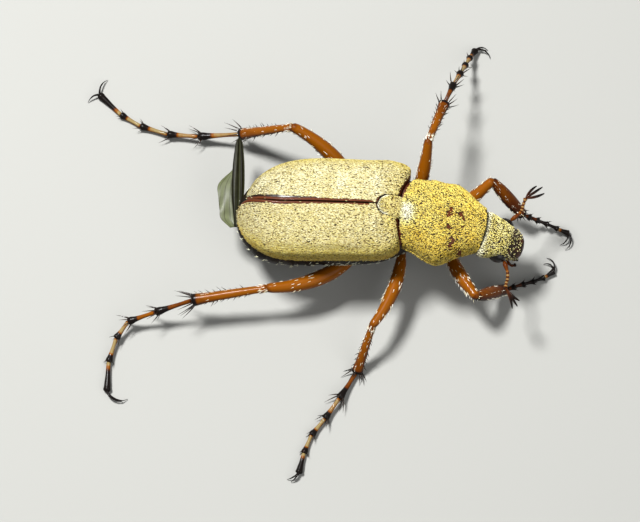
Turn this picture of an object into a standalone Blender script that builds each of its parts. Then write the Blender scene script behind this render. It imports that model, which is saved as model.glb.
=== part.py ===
# A North American rose chafer, the slender long-legged beetle Macrodactylus, standing still.
# +X is toward the head, +Y is the beetle's left and +Z is up. The floor is z = 0.
# Lengths are in millimetres until the last step, which scales each mesh to metres.
import math
import random

import bmesh
import bpy
from mathutils import Matrix, Vector

TO_METRES = 0.001
FLOOR_MIDDLE = Vector((0.384, 0.649, 0.0))  # middle of the leg spread, which becomes the origin
GAP = 0.3             # clearance between pieces that touch in life
THIN = 0.5            # least thickness of a leg, feeler or wing
ROUND = 12            # sides of a leg
RING_STEP = 0.05      # least distance between rings at a cut end
SEED = 7

# The trunk. Widths are half widths, heights are above the floor.
ELYTRA_STARTS = {1: -0.2, -1: 0.12}     # the left wing case (1) reaches further forward at its shoulder
ELYTRA_LENGTHS = {1: 6.34, -1: 6.60}    # and ends a little ahead of the right one
# Share of the length against half width, the right wing case seen a little more from its side
ELYTRA_WIDTHS = {
    1: ((0.0, 1.72), (0.02, 1.84), (0.05, 1.97), (0.1, 2.04), (0.2, 2.1), (0.5, 2.12), (0.63, 2.07),
        (0.72, 1.96), (0.79, 1.82), (0.85, 1.63), (0.9, 1.4), (0.94, 1.12), (0.97, 0.85)),
    -1: ((0.0, 1.4), (0.02, 1.54), (0.05, 1.7), (0.1, 1.83), (0.2, 1.92), (0.5, 1.98), (0.63, 2.0),
         (0.72, 1.96), (0.79, 1.87), (0.85, 1.7), (0.9, 1.46), (0.94, 1.16), (0.97, 0.88)),
}
ELYTRA_TOPS = ((0.0, 4.12), (0.05, 4.28), (0.1, 4.4), (0.2, 4.48), (0.5, 4.5), (0.63, 4.46), (0.72, 4.4),
               (0.79, 4.33), (0.85, 4.22), (0.9, 4.07), (0.94, 3.9), (0.97, 3.75))
# Distance behind the front against how far the middle line has moved to the left
SUTURE = ((0.0, 0.03), (4.6, 0.03), (5.2, 0.09), (6.0, 0.19), (6.6, 0.23))
TAIL_CORNERS = {1: 0.10, -1: 0.42}      # how much of its inner corner each tail end loses
CORNER_START = 5.95   # where that rounding begins
ELYTRA_EDGE = 3.22    # height of the side margin
ELYTRA_TOP = 4.5
SHELL = 0.5           # thickness of an elytron
SCUTELLUM_LENGTH = 1.24
SCUTELLUM_WIDTH = 0.43
SCUTELLUM_AHEAD = 0.1 # how far its root lies ahead of the wing cases
BELLY = 1.3
FLANK_EDGE = 2.42     # where the body is widest
FLANK_TOP = 2.72      # the body's ledge under the elytra
CORE_WIDTH = 1.3      # the body inside the elytra
CORE_TOP = 3.55
WAIST = -2.75         # where the metathorax meets the abdomen, behind the elytra's front
PRONOTUM_LENGTH = 2.98
PRONOTUM_WIDTH = 1.72
PRONOTUM_EDGE = 3.2
PRONOTUM_TOP = 4.3
PRONOTUM_DEPTH = 2.1
HEAD_START = 0.2
HEAD_LENGTH = 1.55
HEAD_WIDTH = 0.86
EYE_SIZE = 0.28
EYE_SPOT = (0.60, 0.64, 2.80)  # ahead, outward and up, from the head's start to the eye's flat side

# Where each stretch of the body starts and which way it points, in degrees about Z
ELYTRA_PLACE = (3.40, 1.60, -1.9)
PRONOTUM_PLACE = (3.55, 1.50, -11.0)
HEAD_PLACE = (6.62, 0.78, -15.0)
PYGIDIUM_PLACE = (3.40, 1.47, -1.9)

# Sections along the trunk: distance ahead of its start, then half widths and heights
METATHORAX_SECTIONS = (   # ahead, left and right half widths, core's half width, bottom, core's top
    (0.05, 0.9, 0.9, 0.7, 1.7, 3.45), (-0.3, 1.45, 1.35, 1.15, 1.45, CORE_TOP),
    (-0.8, 1.85, 1.68, 1.25, BELLY, CORE_TOP), (-1.6, 2.0, 1.85, CORE_WIDTH, BELLY, CORE_TOP),
    (WAIST + 0.5 * GAP, 2.05, 1.93, CORE_WIDTH, BELLY, CORE_TOP))
ABDOMEN_SECTIONS = (
    (WAIST - 0.5 * GAP, 2.05, 1.94, CORE_WIDTH, BELLY, CORE_TOP),
    (-3.6, 2.05, 1.99, CORE_WIDTH, BELLY, CORE_TOP), (-4.4, 1.98, 2.0, 1.28, 1.35, CORE_TOP),
    (-5.1, 1.82, 1.94, 1.1, 1.45, 3.35), (-5.7, 1.58, 1.8, 0.9, 1.57, 3.1),
    (-6.0, 1.35, 1.6, 0.72, 1.67, 2.95))
PYGIDIUM_EDGE = 2.2
PYGIDIUM_SECTIONS = (     # ahead, half width, bottom, top
    (-6.0 - GAP, 1.17, 1.74, 2.7), (-6.5, 0.9, 1.82, 2.64), (-6.65, 0.6, 1.92, 2.55),
    (-6.74, 0.3, 2.02, 2.42))
PRONOTUM_SECTIONS = (     # shares of its length, width, depth below and height above the side margin
    (0.0, 0.80, 0.62, 0.90), (0.14, 0.85, 0.67, 0.95), (0.3, 0.94, 0.7, 1.0), (0.44, 0.98, 0.7, 0.99),
    (0.56, 0.95, 0.67, 0.95), (0.7, 0.81, 0.61, 0.86), (0.85, 0.63, 0.52, 0.70), (1.0, 0.50, 0.41, 0.48))
HEAD_SECTIONS = (         # shares of its length and width, then bottom, edge and top
    (0.0, 0.98, 2.28, 3.0, 3.54), (0.25, 0.86, 2.14, 2.93, 3.48), (0.5, 0.75, 2.08, 2.78, 3.28),
    (0.72, 0.73, 2.1, 2.56, 2.99), (0.9, 0.62, 2.19, 2.47, 2.76), (1.0, 0.38, 2.27, 2.45, 2.6))
MOUTH_SECTIONS = ((0.7, 0.35, 1.25), (1.0, 0.5, 1.15), (1.3, 0.45, 1.2), (1.55, 0.3, 1.3))
PALP_JOINTS = ((1.1, 0.3, 1.5), (1.25, 0.6, 1.5), (1.45, 0.7, 1.5), (1.62, 0.62, 1.5))

# Legs: lengths of femur and tibia, then the thigh's greatest half thickness
LEG_SIZES = {
    "front": {"femur": 2.6, "tibia": 2.25, "thick": 0.36},
    "middle": {"femur": 3.55, "tibia": 2.25, "thick": 0.34},
    "hind": {"femur": 4.0, "tibia": 3.08, "thick": 0.38},
}
COXA_PROFILE = ((0, 0.3), (1, 0.36))    # share of the length against half thickness
TIBIA_PROFILE = ((0, 0.25), (0.22, 0.25), (0.5, 0.26), (0.8, 0.29), (1, 0.29))
LAST_JOINT_PROFILE = ((0, 0.25), (0.6, 0.26), (0.85, 0.28), (1, 0.22))
TARSUS_SLIM = 0.24    # half thickness of a tarsal joint at its root, at its swelling and at its end
TARSUS_SWELL = 0.29
TARSUS_END = 0.25
TARSUS_SIDES = 10
# Lengths of the spurs, and which tarsal joints carry them
SPINES = {
    "front": {"tibia": 0.45, "tarsus": 0.40, "joints": (1, 2)},
    "middle": {"tibia": 0.60, "tarsus": 0.62, "joints": (0, 1, 2, 3)},
    "hind": {"tibia": 0.60, "tarsus": 0.65, "joints": (0, 1, 2, 3)},
}
SPINE_ROOT = 0.22     # half thickness where a spur leaves the leg
SPINE_TIP = 0.03
CLAW_ROOT = 0.22
# The middle line's Y where each pair of legs joins the trunk
MIDDLE_LINE = {"front": 1.22, "middle": 1.42, "hind": 1.70}
# Each leg's hip, the heading and pitch in degrees of its femur, tibia and tarsal joints,
# and each claw's first and last heading with its length
LEG_POSES = {
    "front_left": {"hip": (5.10, 1.80, 1.45), "bow": 0.0, "tarsus": (0.44, 0.43, 0.44, 0.46, 0.50),
                   "turns": ((36, 31), (-35, -46), (-8, -36), (-9, -34), (-16, -18), (-20, -16), (-17, -20)),
                   "claws": ((-45, -150, 0.80), (-75, -170, 0.65))},
    "front_right": {"hip": (5.10, 0.65, 1.45), "bow": -0.10, "tarsus": (0.44, 0.43, 0.44, 0.46, 0.50),
                    "turns": ((-63, 18), (32, -49), (18, -2), (20, -13), (18, -8), (24, -11), (34, -12)),
                    "claws": ((60, 160, 0.75), (80, 190, 0.60))},
    "middle_left": {"hip": (3.68, 2.15, 1.50), "bow": 0.10, "tarsus": (1.47, 1.09, 0.93, 0.73, 0.62),
                    "turns": ((74, 51), (70, -26), (69, -34), (66, -41), (68, -45), (67, -41), (61, -36)),
                    "claws": ((30, -75, 0.80), (50, -30, 0.60))},
    "middle_right": {"hip": (3.30, 0.70, 1.50), "bow": 0.28, "tarsus": (1.38, 0.99, 0.86, 0.79, 0.85),
                     "turns": ((-110, 6), (-112, -45), (-122, 6), (-126, -6), (-129, -3), (-112, -1),
                               (-104, -1)),
                     "claws": ((-125, -175, 0.55), (-110, -150, 0.50))},
    "hind_left": {"hip": (1.64, 2.90, 1.40), "bow": 0.32, "tarsus": (1.88, 1.28, 1.20, 0.96, 1.28),
                  "turns": ((139, 26), (168, -45), (178, -14), (173, -7), (161, -4), (148, -2), (136, -1)),
                  "claws": ((100, 35, 0.80), (180, 240, 0.60))},
    "hind_right": {"hip": (1.56, 0.50, 1.50), "bow": 0.40, "tarsus": (1.66, 1.20, 0.84, 1.00, 1.22),
                   "turns": ((-156, 7), (-173, -9), (-167, -18), (-166, -18), (-127, -14), (-107, -7),
                             (-92, -2)),
                   "claws": ((-80, 35, 1.05), (-70, 5, 0.75))},
}

# Feelers: the joints of each stalk and the ends of its three leaves
ANTENNAE = {
    "left": {"joints": ((7.92, 1.66, 2.90), (8.03, 1.85, 2.95), (8.1, 2.05, 3.0), (8.18, 2.28, 3.05)),
             "tips": ((8.64, 2.86), (8.88, 2.78), (8.94, 2.50))},
    "right": {"joints": ((7.45, -0.55, 2.75), (7.52, -0.8, 2.75), (7.5, -1.0, 2.8), (7.45, -1.2, 2.8)),
              "tips": ((7.58, -2.12), (7.76, -2.08), (7.88, -1.92))},
}
LEAF_PROFILE = ((0.0, 0.14), (0.35, 0.2), (0.7, 0.22), (0.92, 0.15), (1.0, 0.06))

# The folded hind wing that sticks out past the tail on the left
WING_ROOT = Vector((-3.31, 1.70, 2.37))
WING_TIP = Vector((-3.26, 5.33, 2.15))
WING_FRONT = ((0.0, 0.26), (0.6, 0.25), (0.85, 0.2), (1.0, 0.12))   # share of the length against reach ahead
WING_BACK = ((0.0, 0.68), (0.14, 0.74), (0.28, 0.79), (0.39, 0.82), (0.51, 0.56), (0.65, 0.27), (0.85, 0.22),
             (1.0, 0.12))                                          # and against reach behind
WING_FOLDS = (0.12, 0.10, 0.0, 0.0, 0.06, 0.0, 0.0, 0.05, 0.0, 0.0)  # height of the folds, front to back


def srgb(red, green, blue):
    """Linear colour of an eight-bit screen colour."""
    def linear(value):
        part = value / 255
        return part / 12.92 if part <= 0.04045 else ((part + 0.055) / 1.055) ** 2.4
    return (linear(red), linear(green), linear(blue), 1.0)


COLOURS = {
    "elytra": (srgb(226, 218, 150), 0.75),
    "pronotum": (srgb(215, 184, 80), 0.75),
    "scutellum": (srgb(223, 208, 126), 0.75),
    "head": (srgb(196, 188, 96), 0.7),
    "body": (srgb(60, 52, 34), 0.4),
    "leg": (srgb(172, 100, 26), 0.3),
    "foot": (srgb(96, 62, 26), 0.35),
    "black": (srgb(20, 17, 12), 0.2),
    "feeler": (srgb(160, 100, 40), 0.4),
    "wing": (srgb(84, 92, 62), 0.3),
}


def clear_scene():
    for item in list(bpy.data.objects):
        bpy.data.objects.remove(item, do_unlink=True)


def material(name):
    found = bpy.data.materials.get(name)
    if found:
        return found
    colour, roughness = COLOURS[name]
    made = bpy.data.materials.new(name)
    made.use_nodes = True
    shader = made.node_tree.nodes["Principled BSDF"]
    shader.inputs["Base Color"].default_value = colour
    shader.inputs["Roughness"].default_value = roughness
    shader.inputs["Metallic"].default_value = 0.0
    return made


def new_object(name, mesh_maker):
    """An object in the scene from a bmesh, still in millimetres."""
    mesh = bpy.data.meshes.new(name)
    mesh_maker.to_mesh(mesh)
    mesh_maker.free()
    item = bpy.data.objects.new(name, mesh)
    bpy.context.scene.collection.objects.link(item)
    return item


def loft(name, rings):
    """A closed solid through rings with the same number of points, with a fan over each end."""
    made = bmesh.new()
    loops = [[made.verts.new(point) for point in ring] for ring in rings]
    count = len(loops[0])
    for lower, upper in zip(loops, loops[1:]):
        for k in range(count):
            following = (k + 1) % count
            made.faces.new((lower[k], lower[following], upper[following], upper[k]))
    made.faces.new(list(reversed(loops[0])))
    made.faces.new(loops[-1])
    bmesh.ops.triangulate(made, faces=made.faces[:])
    bmesh.ops.recalc_face_normals(made, faces=made.faces[:])
    return new_object(name, made)


def place(spot):
    x, y, turn = spot
    return Matrix.Translation((x, y, 0.0)) @ Matrix.Rotation(math.radians(turn), 4, "Z")


def bent(value, power):
    """A sine or cosine drawn in or out, which squares or pinches an ellipse."""
    return math.copysign(abs(value) ** power, value)


def body_ring(spot, x, half_width, bottom, edge, top, square=1.0, count=24):
    """An oval cross-section: widest at the edge height, squarer as the power falls."""
    turned = place(spot)
    ring = []
    for k in range(count):
        angle = 2 * math.pi * k / count
        y = half_width * bent(math.cos(angle), square)
        rise = top - edge if math.sin(angle) > 0 else edge - bottom
        ring.append(turned @ Vector((x, y, edge + rise * bent(math.sin(angle), square))))
    return ring


def apply_boolean(item, operation, others):
    """Join or cut the item with closed pieces, which are then removed. The manifold solver is
    used, as the exact one leaves open edges where these thin pieces graze each other."""
    group = bpy.data.collections.new("pieces")
    bpy.context.scene.collection.children.link(group)
    for other in others:
        bpy.context.scene.collection.objects.unlink(other)
        group.objects.link(other)
    change = item.modifiers.new("Boolean", "BOOLEAN")
    change.operation = operation
    change.solver = "MANIFOLD"
    change.operand_type = "COLLECTION"
    change.collection = group
    shaped = item.evaluated_get(bpy.context.evaluated_depsgraph_get())
    mesh = bpy.data.meshes.new_from_object(shaped)
    item.modifiers.remove(change)
    item.data = mesh
    for other in others:
        bpy.data.objects.remove(other, do_unlink=True)
    bpy.data.collections.remove(group)
    keep_largest(item)
    return item


def keep_largest(item):
    """Drop every closed surface but the one with the most vertices."""
    made = bmesh.new()
    made.from_mesh(item.data)
    left = set(made.verts)
    parts = []
    while left:
        stack = [left.pop()]
        part = set(stack)
        while stack:
            for edge in stack.pop().link_edges:
                for end in edge.verts:
                    if end not in part:
                        part.add(end)
                        stack.append(end)
        left -= part
        parts.append(part)
    parts.sort(key=len)
    loose = [vertex for part in parts[:-1] for vertex in part]
    bmesh.ops.delete(made, geom=loose, context="VERTS")
    bmesh.ops.triangulate(made, faces=made.faces[:])
    made.to_mesh(item.data)
    made.free()


def finish(item, name, look, smooth=40.0):
    """Name and colour a piece, then bring it to metres with the floor's middle as its origin."""
    item.name = name
    item.data.name = name
    item.data.materials.clear()
    item.data.materials.append(material(look))
    item.data.transform(Matrix.Scale(TO_METRES, 4) @ Matrix.Translation(-FLOOR_MIDDLE))
    item.data.shade_smooth()
    item.data.set_sharp_from_angle(angle=math.radians(smooth))
    return item


def heading(turn, pitch):
    """The unit vector with a compass turn from +X and a pitch above the floor, in degrees."""
    flat = math.cos(math.radians(pitch))
    return Vector((flat * math.cos(math.radians(turn)), flat * math.sin(math.radians(turn)),
                   math.sin(math.radians(pitch))))


def round_ring(centre, along, side_radius, up_radius, plane=None, count=ROUND):
    """A ring round an axis, slid along it into the given plane if there is one."""
    side = along.cross(Vector((0, 0, 1))).normalized()
    up = side.cross(along)
    ring = []
    for k in range(count):
        angle = 2 * math.pi * k / count
        point = centre + side * side_radius * math.cos(angle) + up * up_radius * math.sin(angle)
        if plane:
            point -= along * ((point - centre).dot(plane) / along.dot(plane))
        ring.append(point)
    return ring


def mitre(before, after):
    """The plane half way round a bend."""
    return (before + after).normalized()


def read_table(table, share):
    """The value at a share of the length, on straight lines between the table's pairs."""
    for (first, low), (last, high) in zip(table, table[1:]):
        if share <= last:
            return low + (high - low) * (share - first) / (last - first)
    return table[-1][1]


def limb(name, start, end, profile, start_plane=None, end_plane=None, wide=1.0, grow=0.0, bow=Vector()):
    """A tapering limb. The profile gives pairs of distance share and half thickness, and the bow
    is how far the middle lies to one side. Where a plane is given, that end is cut along it,
    half a gap short of the joint."""
    along = (end - start).normalized()
    length = (end - start).length
    last = len(profile) - 1
    rings = []
    for number, (share, thick) in enumerate(profile):
        middle = start + along * length * share + bow * 4 * share * (1 - share)
        ring = round_ring(middle, along, thick * wide + grow, thick + grow)
        ends = ((start, start_plane, number, -1), (end, end_plane, last - number, 1))
        for joint, plane, steps, sign in ends:
            if plane:
                for point in ring:
                    past = sign * (point - joint).dot(plane) + 0.5 * GAP - grow + RING_STEP * steps
                    if past > 0 or steps == 0:
                        point -= along * sign * past / along.dot(plane)
        rings.append(ring)
    return loft(name, rings)


def leg_joints(leg):
    """Places of the hip, knee, ankle and the ends of the tarsal joints."""
    sizes = LEG_SIZES[leg.split("_")[0]]
    pose = LEG_POSES[leg]
    lengths = (sizes["femur"], sizes["tibia"]) + pose["tarsus"]
    joints = [Vector(pose["hip"])]
    for length, turn in zip(lengths, pose["turns"]):
        joints.append(joints[-1] + heading(*turn) * length)
    return joints


def femur_profile(thick):
    """Narrow at the hip, thickest before the middle and slim at the knee."""
    return ((0, 0.28), (0.16, 0.75 * thick), (0.3, 0.95 * thick), (0.45, thick),
            (0.62, 0.9 * thick), (0.78, 0.78 * thick), (0.87, 0.27), (1, 0.28))


def femur_bow(leg):
    """Thighs curve outward, square to their heading."""
    hand = 1 if leg.endswith("left") else -1
    return heading(LEG_POSES[leg]["turns"][0][0] - hand * 90, 0) * LEG_POSES[leg]["bow"]


def coxa_root(leg):
    """The coxa starts at the middle line, half a gap from its partner, and runs straight out."""
    hip = Vector(LEG_POSES[leg]["hip"])
    middle = MIDDLE_LINE[leg.split("_")[0]]
    return Vector((hip.x, middle + math.copysign(0.5 * GAP, hip.y - middle), hip.z))


def coxa(leg, grow=0.0):
    pose = LEG_POSES[leg]
    root, hip = coxa_root(leg), Vector(pose["hip"])
    out = (hip - root).normalized()
    plane = mitre(out, heading(*pose["turns"][0]))
    return limb("coxa", root - out * grow, hip, COXA_PROFILE, end_plane=plane, grow=grow)


def femur(leg, grow=0.0):
    pose = LEG_POSES[leg]
    joints = leg_joints(leg)
    thick = LEG_SIZES[leg.split("_")[0]]["thick"]
    in_coxa = (Vector(pose["hip"]) - coxa_root(leg)).normalized()
    in_femur, in_tibia = heading(*pose["turns"][0]), heading(*pose["turns"][1])
    return limb("femur", joints[0], joints[1], femur_profile(thick), mitre(in_coxa, in_femur),
                mitre(in_femur, in_tibia), wide=0.92, grow=grow, bow=femur_bow(leg))


def flatten_foot(item):
    """Flatten what would reach below the floor."""
    for vertex in item.data.vertices:
        vertex.co.z = max(vertex.co.z, 0.0)


def spine(centre, along, angle, reach, length, lean):
    """A tapering spur on a limb's surface, leaning toward the foot, its root sunk in the limb."""
    side = along.cross(Vector((0, 0, 1))).normalized()
    out = side * math.cos(angle) + side.cross(along) * math.sin(angle)
    way = out * math.cos(lean) + along * math.sin(lean)
    base = centre + out * reach
    rings = []
    for distance, thick in ((-0.16, SPINE_ROOT), (0.45 * length, 0.6 * SPINE_ROOT), (length, SPINE_TIP)):
        rings.append(round_ring(base + way * distance, way, thick, thick, count=3))
    return loft("spine", rings)


def spine_ring(spot, along, reach, length, angles, rng):
    """Spurs round a limb at one place, each a little different."""
    spurs = []
    for angle in angles:
        turned = math.radians(angle + rng.uniform(-8, 8))
        spurs.append(spine(spot, along, turned, reach, length * rng.uniform(0.85, 1.1),
                           math.radians(rng.uniform(38, 50))))
    return spurs


def tibia(leg, rng):
    """Slender, a little thicker at the foot end, with spurs round its end and one or two above."""
    turns = [heading(*turn) for turn in LEG_POSES[leg]["turns"]]
    joints = leg_joints(leg)
    size = SPINES[leg.split("_")[0]]
    shaft = limb("tibia", joints[1], joints[2], TIBIA_PROFILE,
                 mitre(turns[0], turns[1]), mitre(turns[1], turns[2]))
    end = joints[2] - turns[1] * 0.5
    spurs = spine_ring(end, turns[1], 0.2, size["tibia"], (5, 60, 120, 175), rng)
    for share, angle in ((0.45, 40), (0.62, 150)):
        spot = joints[1].lerp(joints[2], share)
        spurs += spine_ring(spot, turns[1], 0.18, 0.6 * size["tibia"], (angle,), rng)
    return apply_boolean(shaft, "UNION", spurs)


def tarsus(leg, rng):
    """The first four tarsal joints, each swelling toward its end, where its spurs stand."""
    turns = [heading(*turn) for turn in LEG_POSES[leg]["turns"]]
    joints = leg_joints(leg)
    size = SPINES[leg.split("_")[0]]
    rings, spurs = [], []
    for number in range(4):
        start, end = joints[2 + number], joints[3 + number]
        along = turns[2 + number]
        length = (end - start).length
        first, last = mitre(turns[1 + number], along), mitre(along, turns[3 + number])
        if number == 0:
            start = start + along * 0.5 * GAP / along.dot(first)
            rings.append(round_ring(start, along, TARSUS_SLIM, TARSUS_SLIM, first, TARSUS_SIDES))
        swell = end - along * min(0.25, 0.4 * length)
        if length > 0.7:
            slim = start + along * 0.45 * length
            rings.append(round_ring(slim, along, TARSUS_SLIM, TARSUS_SLIM, None, TARSUS_SIDES))
        rings.append(round_ring(swell, along, TARSUS_SWELL, TARSUS_SWELL, None, TARSUS_SIDES))
        if number == 3:
            end = end - along * 0.5 * GAP / along.dot(last)
        rings.append(round_ring(end, along, TARSUS_END, TARSUS_END, last, TARSUS_SIDES))
        if number in size["joints"]:
            spurs += spine_ring(swell - along * 0.1, along, 0.18, size["tarsus"] * (1 - 0.12 * number),
                                ((10, 90, 170), (40, 140), (15, 165), (90,))[number], rng)
    item = apply_boolean(loft("tarsus", rings), "UNION", spurs)
    flatten_foot(item)
    return item


def claws(leg):
    """The last tarsal joint with its pair of curved claws."""
    turns = [heading(*turn) for turn in LEG_POSES[leg]["turns"]]
    joints = leg_joints(leg)
    last = limb("claws", joints[6], joints[7], LAST_JOINT_PROFILE, start_plane=mitre(turns[5], turns[6]))
    hooks = []
    for first, final, length in LEG_POSES[leg]["claws"]:
        rings = []
        spot = joints[7] - turns[6] * 0.15
        steps = 5
        for step in range(steps + 1):
            share = step / steps
            way = heading(first + (final - first) * share, -8)
            thick = CLAW_ROOT * (1 - share) + SPINE_TIP
            rings.append(round_ring(spot, way, thick, thick, count=6))
            spot = spot + way * length / steps
        hooks.append(loft("claw", rings))
    item = apply_boolean(last, "UNION", hooks)
    flatten_foot(item)
    return item


def elytron(hand):
    """One wing case: a domed shell from the middle line to the side margin, rounded at the tail."""
    turned = place(ELYTRA_PLACE)
    rings = []
    rows, across = 18, 10
    start, length = ELYTRA_STARTS[hand], ELYTRA_LENGTHS[hand]
    for row in range(rows):
        x = start + (0.97 * length - start) * math.sin(0.5 * math.pi * row / (rows - 1))
        width, top = read_table(ELYTRA_WIDTHS[hand], x / length), read_table(ELYTRA_TOPS, x / length)
        corner = TAIL_CORNERS[hand] * max(0.0, (x - CORNER_START) / (length - CORNER_START)) ** 3
        inner = 0.5 * GAP + hand * read_table(SUTURE, x) + corner
        ring = []
        for shell in (0.0, SHELL):
            wide = max(width - shell, 0.5 * width)
            high = max(top - shell, ELYTRA_EDGE + 0.3 * (top - ELYTRA_EDGE)) - ELYTRA_EDGE
            side = []
            for k in range(across + 1):
                angle = math.radians(90 - 96 * k / across)
                y = max(inner + wide * bent(math.cos(angle), 0.85) * (1 - inner / wide), inner)
                side.append(turned @ Vector((-x, hand * y, ELYTRA_EDGE + high * bent(math.sin(angle), 0.9))))
            ring += reversed(side) if shell else side
        rings.append(ring)
    return loft("elytron", rings)


def scutellum_outline(grow=0.0):
    """The small tongue between the wing cases, as a flat slab's corners."""
    turned = place(ELYTRA_PLACE)
    length, half = SCUTELLUM_LENGTH + 2 * grow, SCUTELLUM_WIDTH + grow
    corners = []
    for k in range(9):
        angle = math.pi * k / 8
        corners.append((-length * math.sin(angle) ** 0.8, half * math.cos(angle)))
    return [turned @ Vector((SCUTELLUM_AHEAD + grow + x, y, 0)) for x, y in corners]


def slab(name, corners, bottom, top):
    """A flat piece with the given outline."""
    rings = []
    for height in (bottom, top):
        rings.append([Vector((corner.x, corner.y, height)) for corner in corners])
    return loft(name, rings)


def trunk_ring(x, left, right, core, bottom, core_top):
    """The hind body's section: a rounded belly with a ledge, and a core inside the wing cases."""
    turned = place(ELYTRA_PLACE)
    halves = []
    for width in (left, -right):
        half = []
        for k in range(13):
            angle = math.radians(-90 + 90 * k / 12)
            height = FLANK_EDGE + (FLANK_EDGE - bottom) * math.sin(angle)
            half.append((width * bent(math.cos(angle), 0.8), height))
        for k in range(9):
            angle = math.radians(90 * k / 8)
            rise = (core_top - FLANK_TOP) * bent(math.sin(angle), 0.8)
            half.append((math.copysign(core, width) * bent(math.cos(angle), 0.8), FLANK_TOP + rise))
        halves.append(half)
    return [turned @ Vector((x, y, z)) for y, z in halves[0] + halves[1][-2:0:-1]]


def hind_body(name, sections):
    return loft(name, [trunk_ring(*section) for section in sections])


def pygidium():
    """The last plate of the abdomen, just past the wing cases."""
    return loft("pygidium", [body_ring(PYGIDIUM_PLACE, x, width, bottom, PYGIDIUM_EDGE, top, 0.9)
                             for x, width, bottom, top in PYGIDIUM_SECTIONS])


def pronotum(grow=0.0):
    """Six-sided from above with its widest point before the middle, domed, and deep below."""
    rings = []
    for share, width, low, high in PRONOTUM_SECTIONS:
        x = PRONOTUM_LENGTH * share - (grow if share == 0 else 0)
        bottom = PRONOTUM_EDGE - PRONOTUM_DEPTH * low - grow
        top = PRONOTUM_EDGE + (PRONOTUM_TOP - PRONOTUM_EDGE) * high + grow
        side = PRONOTUM_WIDTH * width + grow
        rings.append(body_ring(PRONOTUM_PLACE, x, side, bottom, PRONOTUM_EDGE, top, 0.92))
    return loft("pronotum", rings)


def head():
    """The head capsule with its broad face shield, from just ahead of the pronotum."""
    rings = []
    for share, width, bottom, edge, top in HEAD_SECTIONS:
        x = HEAD_START + (HEAD_LENGTH - HEAD_START) * share
        rings.append(body_ring(HEAD_PLACE, x, HEAD_WIDTH * width, bottom, edge, top, 0.85))
    return loft("head", rings)


def eye(hand, grow=0.0):
    """A round dome on the side of the head, flat where it faces the head."""
    turned = place(HEAD_PLACE)
    ahead, inner, height = EYE_SPOT
    rings = []
    for k in range(6):
        angle = math.radians(80 * k / 5)
        y = inner - grow + (EYE_SIZE + grow) * 1.15 * math.sin(angle)
        size = (EYE_SIZE + grow) * math.cos(angle)
        ring = []
        for step in range(18):
            turn = 2 * math.pi * step / 18
            x, z = ahead + size * math.cos(turn), height + size * math.sin(turn)
            ring.append(turned @ Vector((x, hand * y, z)))
        rings.append(ring)
    return loft("eye", rings)


def antenna(points, name):
    """A thin jointed feeler through its joints."""
    rings = []
    for number, point in enumerate(points):
        before = (point - points[number - 1]).normalized() if number else None
        after = (points[number + 1] - point).normalized() if number + 1 < len(points) else None
        along = mitre(before, after) if before and after else (before or after)
        rings.append(round_ring(point, along, 0.5 * THIN, 0.5 * THIN, None, 12))
    return loft(name, rings)


def club(end, before, tips):
    """Three leaves fanned from the feeler's end."""
    along = (end - before).normalized()
    root = end + along * (GAP + 0.3)
    base = loft("club", [round_ring(root - along * 0.3, along, 0.22, 0.22, None, 10),
                         round_ring(root, along, 0.27, 0.27, None, 10),
                         round_ring(root + along * 0.2, along, 0.15, 0.15, None, 10)])
    leaves = []
    for number, (x, y) in enumerate(tips):
        tip = Vector((x, y, end.z + 0.12 * (number - 1)))
        way = (tip - root).normalized()
        length = (tip - root).length
        rings = [round_ring(root + way * length * share, way, thick, thick * 0.9, None, 10)
                 for share, thick in LEAF_PROFILE]
        leaves.append(loft("leaf", rings))
    return apply_boolean(base, "UNION", leaves)


def mouthparts():
    """The jaws' underside with a pair of short palps."""
    turned = place(HEAD_PLACE)
    base = loft("mouthparts", [body_ring(HEAD_PLACE, x, width, bottom, 1.5, 1.72, 0.9, 16)
                               for x, width, bottom in MOUTH_SECTIONS])
    palps = []
    for hand in (-1, 1):
        palps.append(antenna([turned @ Vector((x, hand * y, z)) for x, y, z in PALP_JOINTS], "palp"))
    return apply_boolean(base, "UNION", palps)


def hindwing(grow=0.0):
    """A dark folded leading edge with a clear flap behind it, along the whole of its length."""
    rings = []
    rows, steps = 14, len(WING_FOLDS) - 1
    thick = 0.5 * THIN + grow
    for row in range(rows):
        share = row / (rows - 1)
        middle = WING_ROOT.lerp(WING_TIP, share)
        if row == 0:
            middle.y -= grow
        front, back = read_table(WING_FRONT, share) + grow, read_table(WING_BACK, share) + grow
        across = [front - (front + back) * k / steps for k in range(steps + 1)]
        top = [middle + Vector((x, 0, thick + (max(WING_FOLDS) if grow else fold)))
               for x, fold in zip(across, WING_FOLDS)]
        bottom = [middle + Vector((x, 0, -thick)) for x in reversed(across)]
        rings.append(top + bottom)
    return loft("hindwing", rings)


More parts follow.
